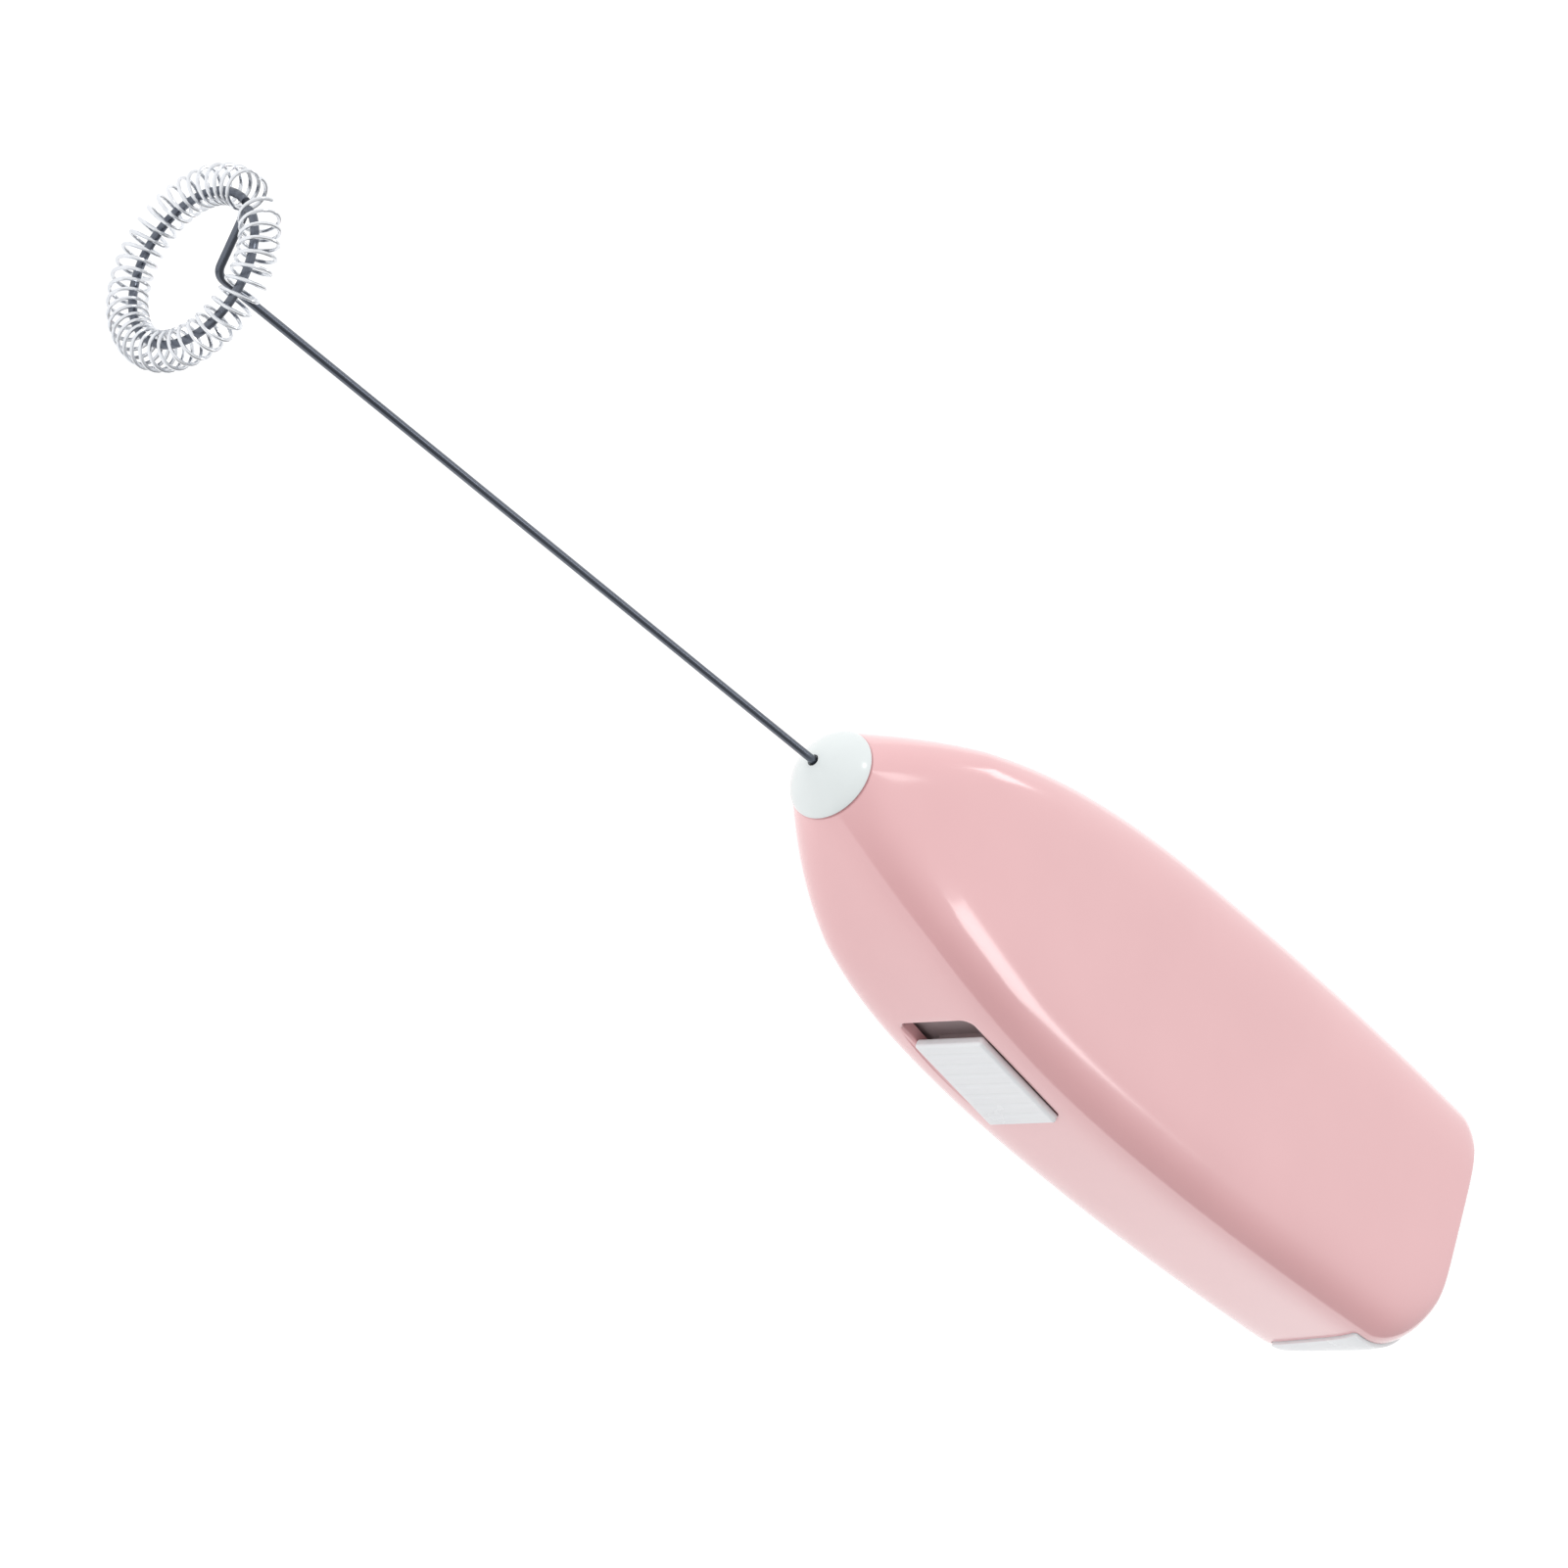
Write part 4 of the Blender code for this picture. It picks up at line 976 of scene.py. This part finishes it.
@dataclass
class Whisk:
    """The bent steel wire and the fine coil wound round its hoop."""

    form: HandleForm
    wire: float = 0.45 * MM
    from_seam: float = 107.3 * MM
    radius: float = 8.9 * MM
    hoop: float = 8.2 * MM
    arm_offset: float = 2.8 * MM
    arm_angle: float = math.radians(45.0)
    tilt_side: float = math.radians(3.8)
    tilt_up: float = math.radians(-5.6)
    shift: tuple[float, float] = (-0.8 * MM, -0.4 * MM)
    coil: float = 1.9 * MM
    coil_wire: float = 0.2 * MM
    turns: int = 40
    opening: float = math.radians(20.0)
    opening_share: tuple[float, float] = (0.62, 0.38)   # of the opening, past the arm and before it
    tail: float = 9.0 * MM
    bend_reach: float = 1.2 * MM
    lead_angle: float = math.radians(24.0)
    hoop_start: float = math.radians(12.0)
    hoop_short: float = math.radians(5.0)       # how far short of the arm the hoop ends
    coil_steps: int = 26                        # points in a turn of the coil

    def ring_frame(self) -> tuple[np.ndarray, np.ndarray, np.ndarray, np.ndarray]:
        """How the hoop stands.

        Returns:
            Its centre, two directions in its plane, and the one out of it.
        """
        centre = self.form.place(np.array(self.form.length + self.from_seam), np.array(self.shift[0]),
                                 np.array(self.shift[1]))
        along = unit(np.array([-1.0, -math.tan(self.tilt_side), math.tan(self.tilt_up)]))
        up = unit(np.array([0.0, 0.0, 1.0]) - along * along[2])
        return centre, np.cross(up, -along), up, along

    def rim(self, angle: np.ndarray) -> np.ndarray:
        """Points on the hoop wire's middle: centre + R (side cos a + up sin a)."""
        centre, side, up, _ = self.ring_frame()
        return centre + self.hoop * (np.cos(angle)[..., None] * side + np.sin(angle)[..., None] * up)

    def bend(self, before: np.ndarray, corner: np.ndarray, after: np.ndarray, reach: float,
             count: int) -> np.ndarray:
        """A turn at a corner: a (1-t)^2 + 2 c t (1-t) + b t^2 between points reach from it.

        Args:
            before: a point that the wire comes from.
            corner: where its two straights would meet.
            after: a point that it goes on to.
            reach: how far from the corner the turn starts and ends.
            count: number of points.

        Returns:
            The points of the turn.
        """
        a = corner + unit(before - corner) * reach
        b = corner + unit(after - corner) * reach
        t = np.linspace(0.0, 1.0, count)[:, None]
        return a * (1 - t) ** 2 + corner * 2 * t * (1 - t) + b * t ** 2

    def shaft(self) -> bpy.types.Object:
        """The wire: straight from the coupling, out along the arm, then once round the hoop.

        Returns:
            The wire.
        """
        place = self.form.place
        zero = np.array(0.0)
        start = place(np.array(self.form.length - self.tail), zero, zero)
        corner = place(np.array(self.form.length + self.from_seam - self.arm_offset), zero, zero)
        join = self.rim(np.array(self.arm_angle))
        lead = self.rim(np.array(self.arm_angle + self.lead_angle))
        straight = start + (corner - start) * np.linspace(0.0, 0.985, 40)[:, None]
        first = self.bend(start, corner, join, self.bend_reach, 14)
        arm = corner + (join - corner) * np.linspace(0.2, 0.82, 12)[:, None]
        second = self.bend(corner, join, lead, self.bend_reach, 14)
        hoop = self.rim(np.linspace(self.arm_angle + self.hoop_start,
                                    self.arm_angle + TURN - self.hoop_short, 160))
        path = np.concatenate([straight, first, arm, second, hoop])
        _, _, _, along = self.ring_frame()
        out = unit(join - corner)
        across = unit(np.cross(along, out))
        blend = np.concatenate([np.zeros(len(straight) + len(first)), np.linspace(0.0, 1.0, len(arm)),
                                np.ones(len(second) + len(hoop))])[:, None]
        return sweep("whisk_wire", path, (1 - blend) * across + blend * along, self.wire, 20)

    def spring(self) -> bpy.types.Object:
        """The coil: P = centre + R out + c (out cos b + along sin b), where out points at the angle a
        round the ring and b turns many times as a goes round once.

        Returns:
            The coil.
        """
        centre, side, up, along = self.ring_frame()
        count = self.turns * self.coil_steps + 1
        past, short = self.opening_share
        a = np.linspace(self.arm_angle + self.opening * past,
                        self.arm_angle + TURN - self.opening * short, count)[:, None]
        b = np.linspace(0.0, TURN * self.turns, count)[:, None]
        out = np.cos(a) * side + np.sin(a) * up
        offset = out * np.cos(b) + along * np.sin(b)
        return sweep("whisk_spring", centre + out * self.radius + offset * self.coil, offset,
                     self.coil_wire, 10)

    def build(self) -> None:
        """Mounts the wire and its coil on the spindle."""
        mount(self.shaft(), "spindle", "whisk_steel", DRAWN_STEEL, "whisk_shaft")
        mount(self.spring(), "spindle", "whisk_steel", SPRING_STEEL, "whisk_coil")


# ---------------------------------------------------------------- works inside

@dataclass
class Works:
    """The nodes that keep their frame shapes, and the finish of each."""

    finishes: dict[str, Finish] = field(default_factory=lambda: {
        "shaft_seal": SEAL_RUBBER, "chassis": NATURAL_ABS, "switch_wiper": ROLLED_BRASS,
        "switch_contact_": ROLLED_BRASS, "switch_board": PHENOLIC, "motor_can": ZINC_STEEL,
        "motor_end_bell": WHITE_ABS, "front_bushing": SINTERED_BRONZE, "rear_bushing": SINTERED_BRONZE,
        "magnet_": FERRITE, "brush_": ROLLED_BRASS, "motor_terminal_": NICKEL_PLATE,
        "motor_screw_": ZINC_STEEL, "motor_shaft": GROUND_STEEL, "armature_core": LAMINATION,
        "winding_": ENAMELLED_COPPER, "commutator": ENAMELLED_COPPER, "shaft_coupling": ROLLED_BRASS,
        "positive_contact": NICKEL_PLATE, "negative_": NICKEL_PLATE, "bridge_": NICKEL_PLATE,
        "lead_battery_to_motor": BLACK_PVC, "lead_": RED_PVC,
    })

    def cell(self, name: str, way: float) -> CellJacket:
        """A cell's jacket.

        Args:
            name: the cell's node.
            way: 1 when its plus end is at the low X end, -1 when at the high end.

        Returns:
            The finish.
        """
        low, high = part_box(name)
        nub = low.x if way > 0 else high.x
        return CellJacket(f"{name}_jacket", "#1f3a33", "#1b332d", 0.25, 0.06, nub_x=nub, way=way)

    def build(self) -> None:
        """Gives every node that stays its material."""
        for name, node in frame["nodes"].items():
            if node.hide_render:
                continue
            if name.startswith("battery_"):
                finish = self.cell(name, 1.0 if name == "battery_1" else -1.0)
            else:
                found = [f for key, f in self.finishes.items() if name.startswith(key)]
                if not found:
                    continue
                finish = found[0]
            dress(node, finish)
            log.info("dressed %s in %s", name, finish.name)


def dress(obj: bpy.types.Object, finish: Finish) -> None:
    """Gives an object one material."""
    obj.data.materials.clear()
    obj.data.materials.append(finish.make())


def mount(obj: bpy.types.Object, body: str, slot: str, finish: Finish, *nodes: str) -> None:
    """Dresses a new piece and hangs it on its body.

    Args:
        obj: the piece.
        body: the frame body it rides on.
        slot: the record's material slot; not used.
        finish: its finish.
        nodes: the frame nodes it stands for.
    """
    dress(obj, finish)
    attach(obj, body)
    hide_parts(*nodes)
    log.info("%s: %d faces on %s", obj.name, len(obj.data.polygons), body)


# ---------------------------------------------------------------- studio

@dataclass(frozen=True)
class SoftBox:
    """A soft rectangular light aimed at the handle."""

    name: str
    towards: tuple[float, float, float]                 # direction from the handle to the light
    size: tuple[float, float]                           # its length and width
    power: float                                        # watts
    along: tuple[float, float, float] = (0.0, 0.0, 1.0)     # the way its length runs
    distance: float = 1.2
    target: tuple[float, float, float] = (0.02, 0.0, 0.01)

    def hang(self) -> None:
        """Makes the lamp and turns it to its target."""
        lamp = bpy.data.lights.new(self.name, "AREA")
        lamp.shape = "RECTANGLE"
        lamp.size, lamp.size_y = self.size
        lamp.energy = self.power
        obj = bpy.data.objects.new(self.name, lamp)
        bpy.context.scene.collection.objects.link(obj)
        along = Vector(self.along)
        z = Vector(self.towards).normalized()
        x = (along - z * along.dot(z)).normalized()
        turn = Matrix((x, z.cross(x), z)).transposed().to_4x4()
        obj.matrix_world = Matrix.Translation(Vector(self.target) + z * self.distance) @ turn
        log.info("hung %s", self.name)


@dataclass
class Studio:
    """Pale floor, soft light and the camera."""

    form: HandleForm
    azimuth: float = math.radians(29.97)
    elevation: float = math.radians(38.0)
    roll: float = math.radians(86.03)
    distance: float = 900.0 * MM
    focal: float = 5.498           # focal length over the frame's width
    seam_at: tuple[float, float] = (0.53092, 0.49488)   # the seam in the frame, from its top left
    sensor_mm: float = 36.0
    clip: tuple[float, float] = (0.01, 20.0)
    floor_half: float = 3.0
    floor_drop: float = 0.2 * MM
    dim_side: tuple[float, float, float] = (0.60, -0.75, 0.25)  # where the room is darker
    dim_edge: tuple[float, float] = (0.20, 0.95)        # cosines where it starts and is darkest
    room_level: tuple[float, float] = (1.04, 0.34)      # the room's strength, and there
    boxes: tuple[SoftBox, ...] = (
        SoftBox("key_softbox", (-0.40, 0.52, 0.75), (0.13, 0.13), 1.3),
        SoftBox("seam_box", (0.34, 0.46, 0.82), (0.1, 0.1), 0.05),
        SoftBox("strip_box", (0.58, 0.14, 0.80), (0.36, 0.27), 0.75, (0.22, -0.23, -0.12)),
        SoftBox("edge_box", (0.50, 0.66, 0.56), (0.18, 0.16), 0.24, (0.2, -0.16, 0.03)),
    )

    def floor(self) -> None:
        """A wide plain floor just under the handle."""
        size = self.floor_half
        corners = np.array([[[-size, -size, 0.0], [size, -size, 0.0]],
                            [[-size, size, 0.0], [size, size, 0.0]]])
        floor = skin("studio_floor", corners, wrap_cols=False, caps=False)
        low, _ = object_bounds()
        floor.location.z = low[2] - self.floor_drop
        if floor.data.polygons[0].normal.z < 0:
            floor.data.flip_normals()
        dress(floor, LIT_ACRYLIC)
        floor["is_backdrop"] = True

    def lights(self) -> None:
        """A bright pale room with a darker side past the switch, and four soft boxes above the
        handle's back: the key, and three that put highlights by the seam, the strip and the edge."""
        world = bpy.data.worlds.new("studio_room")
        world.use_nodes = True
        tree = world.node_tree
        facing = add(tree, "ShaderNodeTexCoord", {}).outputs["Generated"]
        dot = add(tree, "ShaderNodeVectorMath", {0: facing, 1: self.dim_side}, operation="DOT_PRODUCT")
        (start, end), (bright, dim) = self.dim_edge, self.room_level
        level = add(tree, "ShaderNodeMapRange", {
            "Value": dot.outputs["Value"], "From Min": start, "From Max": end, "To Min": bright,
            "To Max": dim}, interpolation_type="SMOOTHSTEP")
        room = tree.nodes["Background"]
        room.inputs["Color"].default_value = (1.0, 1.0, 1.0, 1.0)
        tree.links.new(level.outputs["Result"], room.inputs["Strength"])
        bpy.context.scene.world = world
        for box in self.boxes:
            box.hang()

    def camera(self) -> None:
        """The camera: placed by angles about the seam's centre, aimed to keep the seam in its place."""
        ca, sa = math.cos(self.azimuth), math.sin(self.azimuth)
        ce, se = math.cos(self.elevation), math.sin(self.elevation)
        # The angles are counted from the whisk's direction (-X) towards the switch (-Y).
        back = Vector((-ce * ca, -ce * sa, se))
        level = Vector((0.0, 0.0, 1.0)).cross(back).normalized()
        rise = back.cross(level)
        right = math.cos(self.roll) * level + math.sin(self.roll) * rise
        up = -math.sin(self.roll) * level + math.cos(self.roll) * rise
        seam = Vector((self.form.butt_x - self.form.length, self.form.axis_y, self.form.axis_z))
        eye = seam + back * self.distance
        over = (0.5 - self.seam_at[0]) / self.focal * self.distance
        down = (0.5 - self.seam_at[1]) / self.focal * self.distance
        aim = seam + right * over - up * down
        z = (eye - aim).normalized()
        x = up.cross(z).normalized()
        y = z.cross(x)
        data = bpy.data.cameras.new("studio_camera")
        data.sensor_width = self.sensor_mm
        data.lens = self.sensor_mm * self.focal
        data.clip_start, data.clip_end = self.clip
        camera = bpy.data.objects.new("studio_camera", data)
        bpy.context.scene.collection.objects.link(camera)
        turn = Matrix((x, y, z)).transposed().to_4x4()
        camera.matrix_world = Matrix.Translation(eye) @ turn
        bpy.context.scene.camera = camera

    def build(self) -> None:
        """Sets up the whole studio."""
        self.floor()
        self.lights()
        self.camera()
        view = bpy.context.scene.view_settings
        view.view_transform = "Standard"
        view.look = "None"


def main() -> None:
    """Builds the frother piece by piece, then the studio."""
    logging.basicConfig(level=logging.INFO, format="%(name)s: %(message)s")
    form = HandleForm()
    form.read_frame()
    Handle(form).build()
    Switch(form).build(bpy.data.objects["handle_shell"])
    Whisk(form).build()
    Works().build()
    Studio(form).build()


if __name__ == "__main__":
    main()
